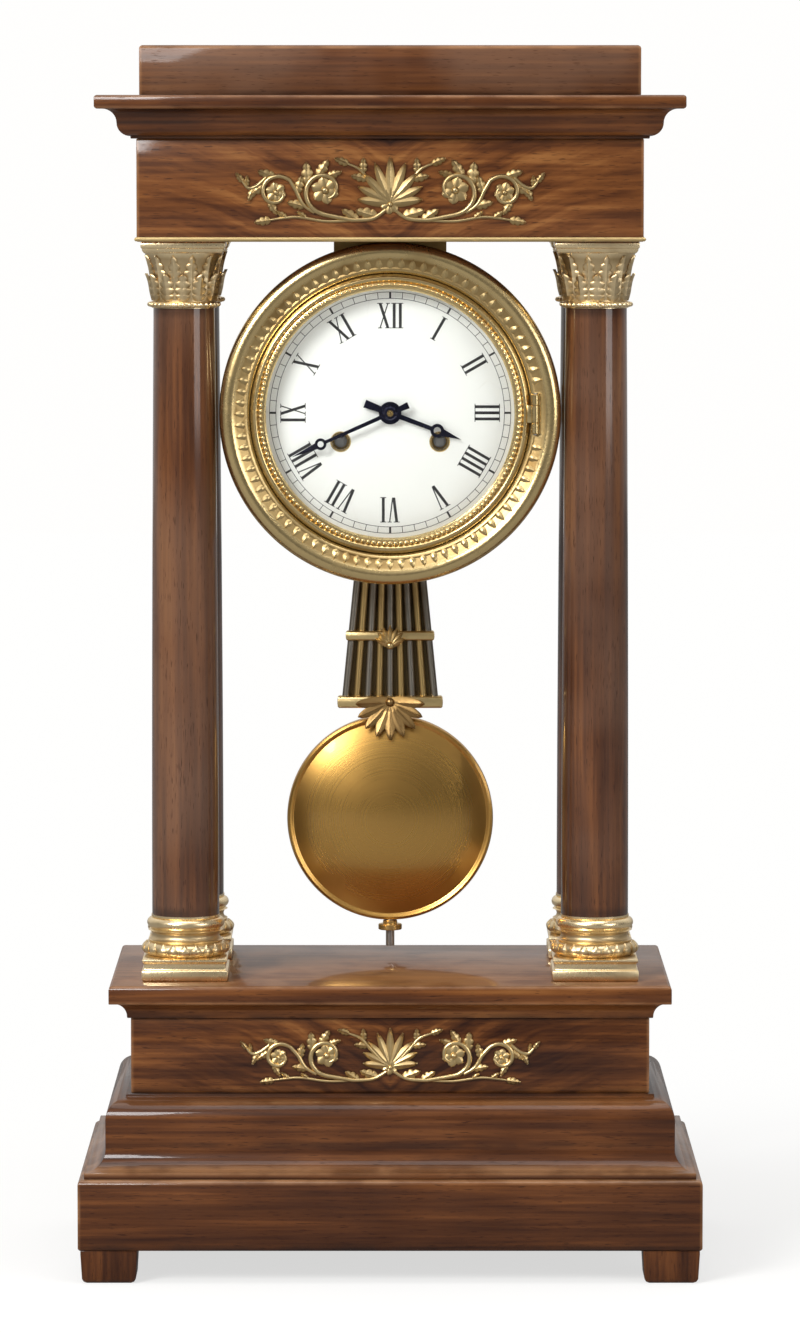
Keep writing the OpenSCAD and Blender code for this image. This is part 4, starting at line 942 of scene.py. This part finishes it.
tube_rows = [
    (DRUM_BORE, DRUM_BACK), (DRUM_RADIUS - 0.2, DRUM_BACK), (DRUM_RADIUS, DRUM_BACK + 0.2),
    (DRUM_RADIUS, DRUM_FRONT - 0.2), (DRUM_RADIUS - 0.2, DRUM_FRONT), (DRUM_BORE, DRUM_FRONT),
]
tube = to_front(turned(tube_rows, sides=160, ring=True))
pendulum_slot = block((-13, 14, -63), (13, 28, -45), 0)
cut_out(tube, pendulum_slot)
parts = [tube]
for low, high in LUGS:
    strap = block((55, 38.4, low), (58, 43.8, high))
    ear = block((56.2, 43, low), (56.9, REAR_PIN[1], high), 0.1)
    parts += [knuckle(REAR_PIN, low, high), strap, ear]
drum_brass = plain_metal("rolled_brass", (0.66, 0.44, 0.165), (0.38, 0.22, 0.08), 0.2, "Y", 1500, 0.55)
carried("brass_drum", parts, drum_brass, "case", "brass", "drum")


# Movement: two brass plates with turned pillars between them, the going train on the
# right and the striking train on the left, a back cock and a bell on its stand.
wheel_brass = plain_metal("wheel_brass", (0.72, 0.49, 0.19), (0.42, 0.25, 0.09), 0.2, "", 1500, 0.4)
bell_metal = plain_metal("bell_metal", (0.56, 0.43, 0.22), (0.30, 0.20, 0.10), 0.2, "", 900, 0.6)
dress(brass_plate, "front_plate", "back_plate", "pillars", "back_cock")
dress(wheel_brass, *(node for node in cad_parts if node.endswith(("_wheel", "_barrel"))))
dress(steel_work, "going_arbor", "strike_arbor", "anchor", "cannon_pinion", "fly", "hammer")
dress(steel_work, "bell_stand", "hinge_pins")
dress(bell_metal, "bell")


# Dial: a thin copper disc under white enamel, eased a hair at its edge, with a bush of
# gilt brass in each winding hole. Hours are Roman, painted in black and fired.
CENTRE_HOLE, WINDING_HOLE = 4.5, 3.2
WINDER_X, _, WINDER_Z = middle("going_arbor")
TRACK_IN, TRACK_OUT, TRACK_HALF = 46.6, 49.2, 0.11
NUMERAL_FOOT, NUMERAL_HEAD, SERIF_REACH, SERIF_HALF = 34.6, 44.6, 0.62, 0.16
THICK, THIN = 0.5904, 0.2448
ADVANCE = {"I": 2.5, "V": 5.6, "X": 5.8}
STROKES = {
    "I": [(0, 0, THICK)],
    "V": [(-1.45, -0.22, THICK), (1.45, 0.22, THIN)],
    "X": [(-1.6, 1.6, THICK), (1.6, -1.6, THIN)],
}
HOURS = ["XII", "I", "II", "III", "IIII", "V", "VI", "VII", "VIII", "IX", "X", "XI"]

dial_rows = [(53.6, -1.6), (54.3, -1.4), (54.3, -0.4), (53.9, 0)]
disc = to_front(turned(dial_rows, sides=160), front=DRUM_FRONT)
holes = [(0, DIAL_Z, CENTRE_HOLE), (WINDER_X, WINDER_Z, WINDING_HOLE), (-WINDER_X, WINDER_Z, WINDING_HOLE)]
for x, z, r in holes:
    drill = turned([(r, -4), (r, 2)], sides=40)
    cut_out(disc, to_front(drill, x, z, DRUM_FRONT))
enamel, glaze = finish("white_enamel", Coat_Weight=0.6, Coat_Roughness=0.05)
veil = glaze.noise(glaze.place(), 45, 3)
crack = glaze.node("TexVoronoi", {"feature": "DISTANCE_TO_EDGE"}, Vector=glaze.place(), Scale=70)
age = (1 - crack.step(0, 0.012)) * veil.step(0.52, 0.66) * 0.22
white = veil.between((0.86, 0.865, 0.835), (0.91, 0.91, 0.885))
feed(enamel, Base_Color=age.between(white, (0.42, 0.36, 0.28)), Roughness=0.18 + veil * 0.08)
carried("enamel_dial", [disc], enamel, "case", "enamel", "dial")


def stroke(foot_x, head_x, half, foot, head, proud):
    """A painted stroke: a thin flat face, its corners set one by one, proud of the dial."""
    bpy.ops.mesh.primitive_plane_add(size=1)
    piece = bpy.context.object
    ends = [(foot_x - half, foot), (foot_x + half, foot), (head_x - half, head), (head_x + half, head)]
    for vertex, (x, z) in zip(piece.data.vertices, ends):
        vertex.co = (x * MM, (-DRUM_FRONT - proud) * MM, z * MM)
    return piece


def numeral(letters):
    """One hour painted upright about x = 0; its foot points to the dial's middle. Each
    stroke lies a hair over the one before."""
    parts, x = [], -sum(ADVANCE[letter] for letter in letters) / 2

    def paint(*shape):
        parts.append(stroke(*shape, 0.034 + 0.004 * len(parts)))

    for letter in letters:
        middle_x = x + ADVANCE[letter] / 2
        for top, low, half in STROKES[letter]:
            top, low, wide = middle_x + top, middle_x + low, half + SERIF_REACH
            paint(low, top, half, NUMERAL_FOOT, NUMERAL_HEAD)
            paint(top, top, wide, NUMERAL_HEAD - SERIF_HALF, NUMERAL_HEAD + SERIF_HALF)
            if letter != "V":
                paint(low, low, wide, NUMERAL_FOOT - SERIF_HALF, NUMERAL_FOOT + SERIF_HALF)
        x += ADVANCE[letter]
    return joined(parts)


figures, tracks = [], []
for hour, letters in enumerate(HOURS):
    figures.append(numeral(letters))
    figures[-1].data.transform(shift(0, 0, DIAL_Z) @ turn(30 * hour, "Y"))
for radius in (TRACK_IN, TRACK_OUT):
    near, far = radius - TRACK_HALF, radius + TRACK_HALF
    line = [(near, 0.02), (far, 0.02), (far, 0.05), (near, 0.05)]
    tracks.append(to_front(turned(line, sides=128, ring=True), front=DRUM_FRONT))
for half, count, proud in ((0.13, 60, 0.035), (0.42, 12, 0.045)):
    tick = stroke(0, 0, half, TRACK_IN, TRACK_OUT, proud)
    ring_of(tick, count, FORWARD, height=DIAL_Z)
    figures.append(tick)
painted = joined(figures)
applied(painted, "SOLIDIFY", thickness=0.02 * MM, offset=0)
black, ink = finish("fired_black")
blot = ink.noise(ink.place(), 260, 2)
sooty = blot.between((0.012, 0.012, 0.015), (0.045, 0.042, 0.042))
feed(black, Base_Color=sooty, Roughness=0.3 + blot * 0.12)
carried("painted_hours", [painted, *tracks], black, "case", "enamel")

bush_rows = [
    (WINDING_HOLE, -0.8), (WINDING_HOLE, 0.1), (3.5, 0.42), (3.95, 0.42), (4.25, 0.02), (4, -0.8),
]
bushes = []
for x in (-WINDER_X, WINDER_X):
    bushes.append(to_front(turned(bush_rows, sides=48, ring=True), x, WINDER_Z, DRUM_FRONT))
carried("winding_bushes", bushes, gilt("gilt_bush", rough=0.2), "case", "brass")


# Bezel: a cast and gilt ring screwed to the front of the drum, with a half-round edge
# and a band of lance leaves; it is notched at the right for the door's hinge.
FRONT_PIN = (58.9, -41.5)
LANCES, LANCES_CUT, LANCE_LEAN = 84, 5, 14
BAND_IN, BAND_OUT = 58.5, 63
bezel_gold = gilt("gilt_bezel", rough=0.2, gold_tone=(0.75, 0.565, 0.27))
bezel_rows = [
    (51, 0), (69.3, 0), (69.5, 0.2), (69.5, 4),
    *arc((67, 5.5), 2.5, 0, 80, 8),
    *arc((65.6, 9), 3.9, 5, 120, 14),
    (62.6, 11.6), (59.6, 10.4), (58.9, 10.6), (58, 10.2), (57.3, 9.3), (57.2, 3), (51, 3),
]
bezel = turned(bezel_rows, sides=160, ring=True)
dulled(bezel, lambda r, z: 0.8 if BAND_IN < r < BAND_OUT else 0)
to_front(bezel, front=DRUM_FRONT)
hinge_notch = block((56.8, -45, -8.2), (61, -39.4, 8.2), 0)
cut_out(bezel, hinge_notch)
lance = leaf(5, 3.9, 0.75, curl=0.25, rows=7, cols=4, thick=0.4)
lance.data.transform(shift(0, -DRUM_FRONT - 10.2, BAND_IN + 0.4) @ turn(LANCE_LEAN, "X"))
lance.data.transform(turn(90 - (LANCES_CUT + 1) / 2 * 360 / LANCES, "Y"))
ring_of(lance, LANCES, FORWARD, LANCES_CUT, DIAL_Z)
parts = [bezel, lance]
for low, high in LUGS:
    strap = block((58.6, -40.6, low), (61.8, -38.3, high), 0.1)
    parts += [knuckle(FRONT_PIN, low, high), strap]
carried("gilt_bezel", parts, bezel_gold, "case", "gilt_bronze", "bezel")


# Glazed door: a slim gilt ring with a corded edge that holds the glass and swings on
# a knuckle at the right.
CORD_BEADS, CORD_RADIUS = 150, 52.6
door_rows = [
    (53.7, 3.2), (56.8, 3.2), (57, 3.4), (57, 9), (56.4, 10.2),
    *arc((55, 9.9), 1.1, 30, 150, 6),
    (53.4, 10), (52.2, 10.5), (51.3, 10.3), (50.6, 9.5), (50.5, 8.8), (53.7, 8.8),
]
door = to_front(turned(door_rows, sides=160, ring=True), front=DRUM_FRONT)
cord = bead(0.75, (0, -DRUM_FRONT - 10.5, CORD_RADIUS))
cord.data.transform(Matrix.Scale(1.5, 4, SIDEWAYS))
ring_of(cord, CORD_BEADS, FORWARD, height=DIAL_Z)
hinge = knuckle(FRONT_PIN, -KNUCKLE, KNUCKLE)
strap = block((55.6, -41.9, -KNUCKLE), (58.1, -39.9, KNUCKLE), 0.15)
carried("gilt_door", [door, cord, hinge, strap], bezel_gold, "front_door", "gilt_bronze", "glass_door")


# Door glass: a shallow dome of clear glass of even thickness, ground flat at its edge
# and sprung into the ring from behind.
GLASS_RADIUS, GLASS_RISE, GLASS_RIM, GLASS_BACK = 53.5, 7, 7.4, 6.3
GLASS_WALL, GLASS_STEPS = 1.6, 22
dome = (GLASS_RADIUS ** 2 + GLASS_RISE ** 2) / (2 * GLASS_RISE)
centre = GLASS_RIM + GLASS_RISE - dome
inner, outer = [], []
for i in range(GLASS_STEPS + 1):
    r = GLASS_RADIUS - 0.1 - (GLASS_RADIUS - 0.5) * i / GLASS_STEPS
    inner.append((r, max(GLASS_BACK, centre + sqrt((dome - GLASS_WALL) ** 2 - r ** 2))))
    outer.append((r, centre + sqrt(dome ** 2 - r ** 2)))
glass = to_front(turned([*reversed(inner), *outer], sides=128, smooth=60), front=DRUM_FRONT)
clear_glass, clear = finish("clear_glass")
clear_nodes = clear_glass.node_tree.nodes
clear_nodes.remove(clear_nodes["Principled BSDF"])
smear = clear.noise(clear.place(), 30, 3)
through = clear.node("BsdfTransparent", Color=(0.985, 0.99, 0.985))
shine = clear.node("BsdfGlossy", Color=(1, 1, 1), Roughness=0.02)
glance = clear.node("Fresnel", IOR=1.45) * (0.42 + smear * 0.1)
clear_look = clear.node("MixShader", i0=glance, i1=through, i2=shine)
clear.join(clear_look, clear_nodes["Material Output"].inputs["Surface"])
carried("glass_dome", [glass], clear_glass, "front_door", "glass", "door_glass")


# Hands: two pierced steel hands with an open ring near the tip, polished and blued
# over heat, on the hour pipe and the cannon; a domed nut holds them.
blued, heat = finish("blued_steel", Metallic=1)
bloom = heat.noise(heat.place(), 120, 2)
blue = bloom.between((0.016, 0.022, 0.060), (0.045, 0.042, 0.085))
feed(blued, Base_Color=blue, Roughness=0.2 + bloom * 0.12)
dress(blued, "minute_hand", "hour_hand", "hand_nut")


# Rear door: a spun brass cover with turned rings and a small knob, hinged at the right
# of the drum's back.
KNOB_X = -46


def lathe_marks(wire, height, fine):
    """How far a point is from a turning axis that runs front to back, and the tool's rings."""
    x, _, z = wire.place().split()
    z = z - height * MM
    radius = wire.sum("SQRT", x * x + z * z)
    rings = wire.node("TexNoise", {"noise_dimensions": "1D"}, W=radius * fine, Scale=1, Detail=2)
    return radius, rings


cover_rows = [
    (0.6, -2), (8, -2), (9, -2.3), (20, -2.3), (20.6, -2.05), (21.4, -2.05), (22, -2.3), (44, -2.3),
    (44.8, -1.9), (46, -1.9), (46.8, -2.3), (55.4, -2.3), (56, -1.9), (56, -0.5), (55.6, -0.3),
    (54.2, -0.3), (54.2, 2.7), (53.1, 2.7), (53.1, -0.3), (0.6, -0.3),
]
knob_rows = [
    (2.2, -2.3), (1.5, -2.8), (1.3, -3.8), (1.8, -4.3), (2.7, -5.2), (3, -6.4), (2.7, -7.8), (1.8, -8.8),
    (0.5, -9.3),
]
cover = to_front(turned(cover_rows, sides=160), front=DRUM_BACK)
knob = to_front(turned(knob_rows, sides=40), KNOB_X, front=DRUM_BACK)
hinge = knuckle(REAR_PIN, -KNUCKLE, KNUCKLE)
tongue = block((54.2, 44.4, -KNUCKLE), (56.6, 46.3, KNUCKLE), 0.15)
spun, spin = finish("spun_brass", Metallic=1)
_, rings = lathe_marks(spin, DIAL_Z, 1500)
tarnish = spin.noise(spin.place(), 38, 4).step(0.46, 0.75) * 0.55
feed(
    spun,
    Base_Color=tarnish.between((0.68, 0.455, 0.17), (0.40, 0.235, 0.085)),
    Roughness=0.18 + tarnish * 0.22 + rings * 0.1,
    Normal=spin.node("Bump", Strength=0.1, Distance=0.0003, Height=rings),
)
carried("spun_rear_door", [cover, knob, hinge, tongue], spun, "back_door", "brass", "rear_door")


# Suspension: a waisted strip of spring steel, pinned in the slit stud of the back cock
# above and in the slit head of the rod below.
PENDULUM_Y = middle("pendulum_grid")[1]
STRIP_HALF, STRIP_WAIST, STRIP_THICK, STRIP_EASE, STRIP_STEPS = 2.4, 0.6, 0.09, 0.1, 20
STRIP_FOOT = extent("suspension_spring")[1] + STRIP_EASE
STRIP_LENGTH = tall("suspension_spring") - 2 * STRIP_EASE
BEND_HEAD, BEND_FOOT = STRIP_FOOT + 8.6, STRIP_FOOT + 3.6
strip_rows = []
for t in (i / STRIP_STEPS for i in range(STRIP_STEPS + 1)):
    strip_half = STRIP_HALF - STRIP_WAIST * sin(pi * t)
    strip_rows.append((STRIP_THICK, strip_half, STRIP_FOOT + STRIP_LENGTH * t))
bpy.ops.mesh.primitive_plane_add(size=2, location=(0, PENDULUM_Y * MM, STRIP_FOOT * MM))
strip = bpy.context.object
strip.scale = (STRIP_THICK * MM, STRIP_HALF * MM, 1)
begin(strip)
draw_up(strip_rows, (0, PENDULUM_Y))
close_up(strip, 0)
strip.name = strip.data.name = "suspension_strip"
strip.data.materials.append(steel_work)
bend_head, bend_foot = (0, PENDULUM_Y * MM, BEND_HEAD * MM), (0, PENDULUM_Y * MM, BEND_FOOT * MM)
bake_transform(strip)
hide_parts("suspension_spring")


# Pendulum rod and grid: a steel rod that carries a gridiron of steel and brass rods in
# turn before a browned sheet, held by three gilt cross bars. The middle bar has a small
# shell, and a leaf drop hangs from the low one.
_, GRID_LOW, GRID_TOP = extent("pendulum_grid")
BAR, BAR_HALF, ROD, ROD_RUN, ROD_TENON = 5, 3, 1.5, 12, 0.3
RODS_EACH_SIDE, TOP_SPREAD, LOW_SPREAD = 4, 27, 37
SHEET_LOW, SHEET_TOP = 18.6, 14.6
TOP_BAR, MID_BAR, LOW_BAR = 34, 37, 44
low, top = GRID_LOW + BAR, GRID_TOP - BAR
mid = (top + low) / 2


def cross_bar(width, low, high, swell):
    """A cast bar with a raised band along its middle."""
    mid = (low + high) / 2
    rows = [
        (-0.7, low), (-0.1, low + 0.6), (-0.1, mid - swell), (0, mid - swell * 0.6),
        (0, mid + swell * 0.6), (-0.1, mid + swell), (-0.1, high - 0.6), (-0.7, high),
    ]
    return moulded((width / 2, BAR_HALF), rows, centre=(0, PENDULUM_Y), arris=0.25)


dress(steel_work, "pendulum_rod")
steel_rods, brass_rods = [], []
rod_heights = (low - ROD_TENON, low + ROD_RUN, top - ROD_RUN, top + ROD_TENON)
for i in range(-RODS_EACH_SIDE, RODS_EACH_SIDE + 1):
    rod = turned([(ROD, z) for z in rod_heights], sides=20)
    for vertex in rod.data.vertices:
        share = (vertex.co.z / MM - low) / (top - low)
        spread = LOW_SPREAD + (TOP_SPREAD - LOW_SPREAD) * share
        vertex.co.x += i * spread / (2 * RODS_EACH_SIDE) * MM
        vertex.co.y += PENDULUM_Y * MM
    (brass_rods if i % 2 else steel_rods).append(rod)
grid_steel = plain_metal("grid_steel", (0.29, 0.26, 0.215), (0.15, 0.11, 0.07), 0.3, "Z", 1400, 0.6)
grid_brass = plain_metal("grid_brass", (0.60, 0.41, 0.165), (0.30, 0.18, 0.07), 0.28, "Z", 1400, 0.6)
carried("grid_brass_rods", brass_rods, grid_brass, "pendulum", "brass")
carried("grid_steel_rods", steel_rods, grid_steel, "pendulum", "steel", "pendulum_grid")

grid_bars = [
    cross_bar(TOP_BAR, top, GRID_TOP, 1.2),
    cross_bar(MID_BAR, mid - 2, mid + 2, 0.9),
    cross_bar(LOW_BAR, GRID_LOW, low, 1.2),
]
shell = fan(7, -66, 22, 8.6, 0.5, 2.9, 0.7, rows=8, cols=4)
shell = joined([shell, bead(1.7, (0, -0.4, 0))])
shell.data.transform(shift(0, PENDULUM_Y - BAR_HALF - 0.1, mid - 4))
grid_gold = gilt("gilt_grid", rough=0.28)
carried("gilt_grid_bars", [*grid_bars, shell], grid_gold, "pendulum", "gilt_bronze")

sheet_rows = [(0, low - ROD_TENON), (0, top + ROD_TENON)]
sheet = moulded((SHEET_LOW, 0.3), sheet_rows, centre=(0, PENDULUM_Y + 2.2), arris=0)
for vertex in sheet.data.vertices:
    if vertex.co.z > mid * MM:
        vertex.co.x *= SHEET_TOP / SHEET_LOW
browned = plain_metal("browned_sheet", (0.16, 0.115, 0.056), (0.09, 0.056, 0.028), 0.42, "Z", 900, 0.8)
carried("grid_sheet", [sheet], browned, "pendulum", "brass")

drop = fan(
    9, 92, 22, 15.6, 0.3, 5.2, 0.7, curl=0.3, point=0.5, rows=14, thick=0.45, out=lambda t: 2.9 * t
)
drop = joined([drop, bead(1.9, (0, -0.5, 0))])
drop.data.transform(shift(0, PENDULUM_Y - BAR_HALF - 0.3, GRID_LOW + 2.6))
carried("gilt_leaf_drop", [drop], gilt("gilt_drop", 0.32, (0.36, 0.225, 0.09)), "pendulum", "gilt_bronze")


# Bob: a heavy lens of brass over lead, turned, polished and lacquered, with a rolled
# rim; it slides on the rod and rests on the rating nut.
BOB_RADIUS, BOB_Z = corners_of("pendulum_bob")[1][0], middle("pendulum_bob")[2]
BOB_THICK, BOB_EDGE, BOB_STEPS = 18, 2.4, 26
bulge = (BOB_THICK - BOB_EDGE) / 2
lens = (BOB_RADIUS ** 2 + bulge ** 2) / (2 * bulge)
face = []
for r in (0.6 + 39.6 * i / BOB_STEPS for i in range(BOB_STEPS + 1)):
    face.append((r, sqrt(lens ** 2 - r ** 2) - lens + BOB_THICK / 2))
face += [(40.6, 2.35), (41, 2.75), (41.8, 3), (42.6, 2.55), (BOB_RADIUS, 1.6)]
bob_rows = [(r, -PENDULUM_Y - h) for r, h in face] + [(r, -PENDULUM_Y + h) for r, h in reversed(face)]
bob = to_front(turned(bob_rows, sides=160), 0, BOB_Z)
lacquer, lac = finish("lacquered_brass", Metallic=1, Coat_Roughness=0.06)
radius, rings = lathe_marks(lac, BOB_Z, 1300)
patch = lac.noise(lac.place(), 30, 4)
worn = lac.sum("ADD", patch.step(0.46, 0.72) * 0.45, radius.step(0.030, 0.042) * 0.35, clamp=True)
feed(
    lacquer,
    Base_Color=worn.between((0.68, 0.385, 0.098), (0.40, 0.215, 0.058)),
    Roughness=0.22 + worn * 0.16 + rings * 0.08,
    Coat_Weight=0.35 - worn * 0.25,
    Normal=lac.node("Bump", Strength=0.02, Distance=0.0003, Height=rings),
)
carried("brass_bob", [bob], lacquer, "bob", "brass", "pendulum_bob")


# Rating nut: a milled brass nut on the threaded end of the rod, which raises or lowers
# the bob.
MILL_SIDES, MILL_DEPTH, MILLED_RADIUS = 80, 0.045, 4.9
_, foot, head = extent("rating_nut")
nut_rows = [
    (1.85, foot), (MILLED_RADIUS - 0.3, foot), (MILLED_RADIUS, foot + 0.3), (MILLED_RADIUS, foot + 2.1),
    (MILLED_RADIUS - 0.3, foot + 2.4), (3, foot + 2.4), (3, head - 0.3), (2.7, head), (1.85, head),
]
nut = turned(nut_rows, sides=MILL_SIDES, ring=True)
for vertex in nut.data.vertices:
    x, y, _ = vertex.co
    if hypot(x, y) > (MILLED_RADIUS - 0.35) * MM:
        side = round(degrees(atan2(y, x)) * MILL_SIDES / 360)
        milled = 1 - MILL_DEPTH * (side % 2)
        vertex.co.x, vertex.co.y = x * milled, y * milled
nut.data.transform(shift(0, PENDULUM_Y, 0))
carried("milled_nut", [nut], wheel_brass, "nut", "brass", "rating_nut")
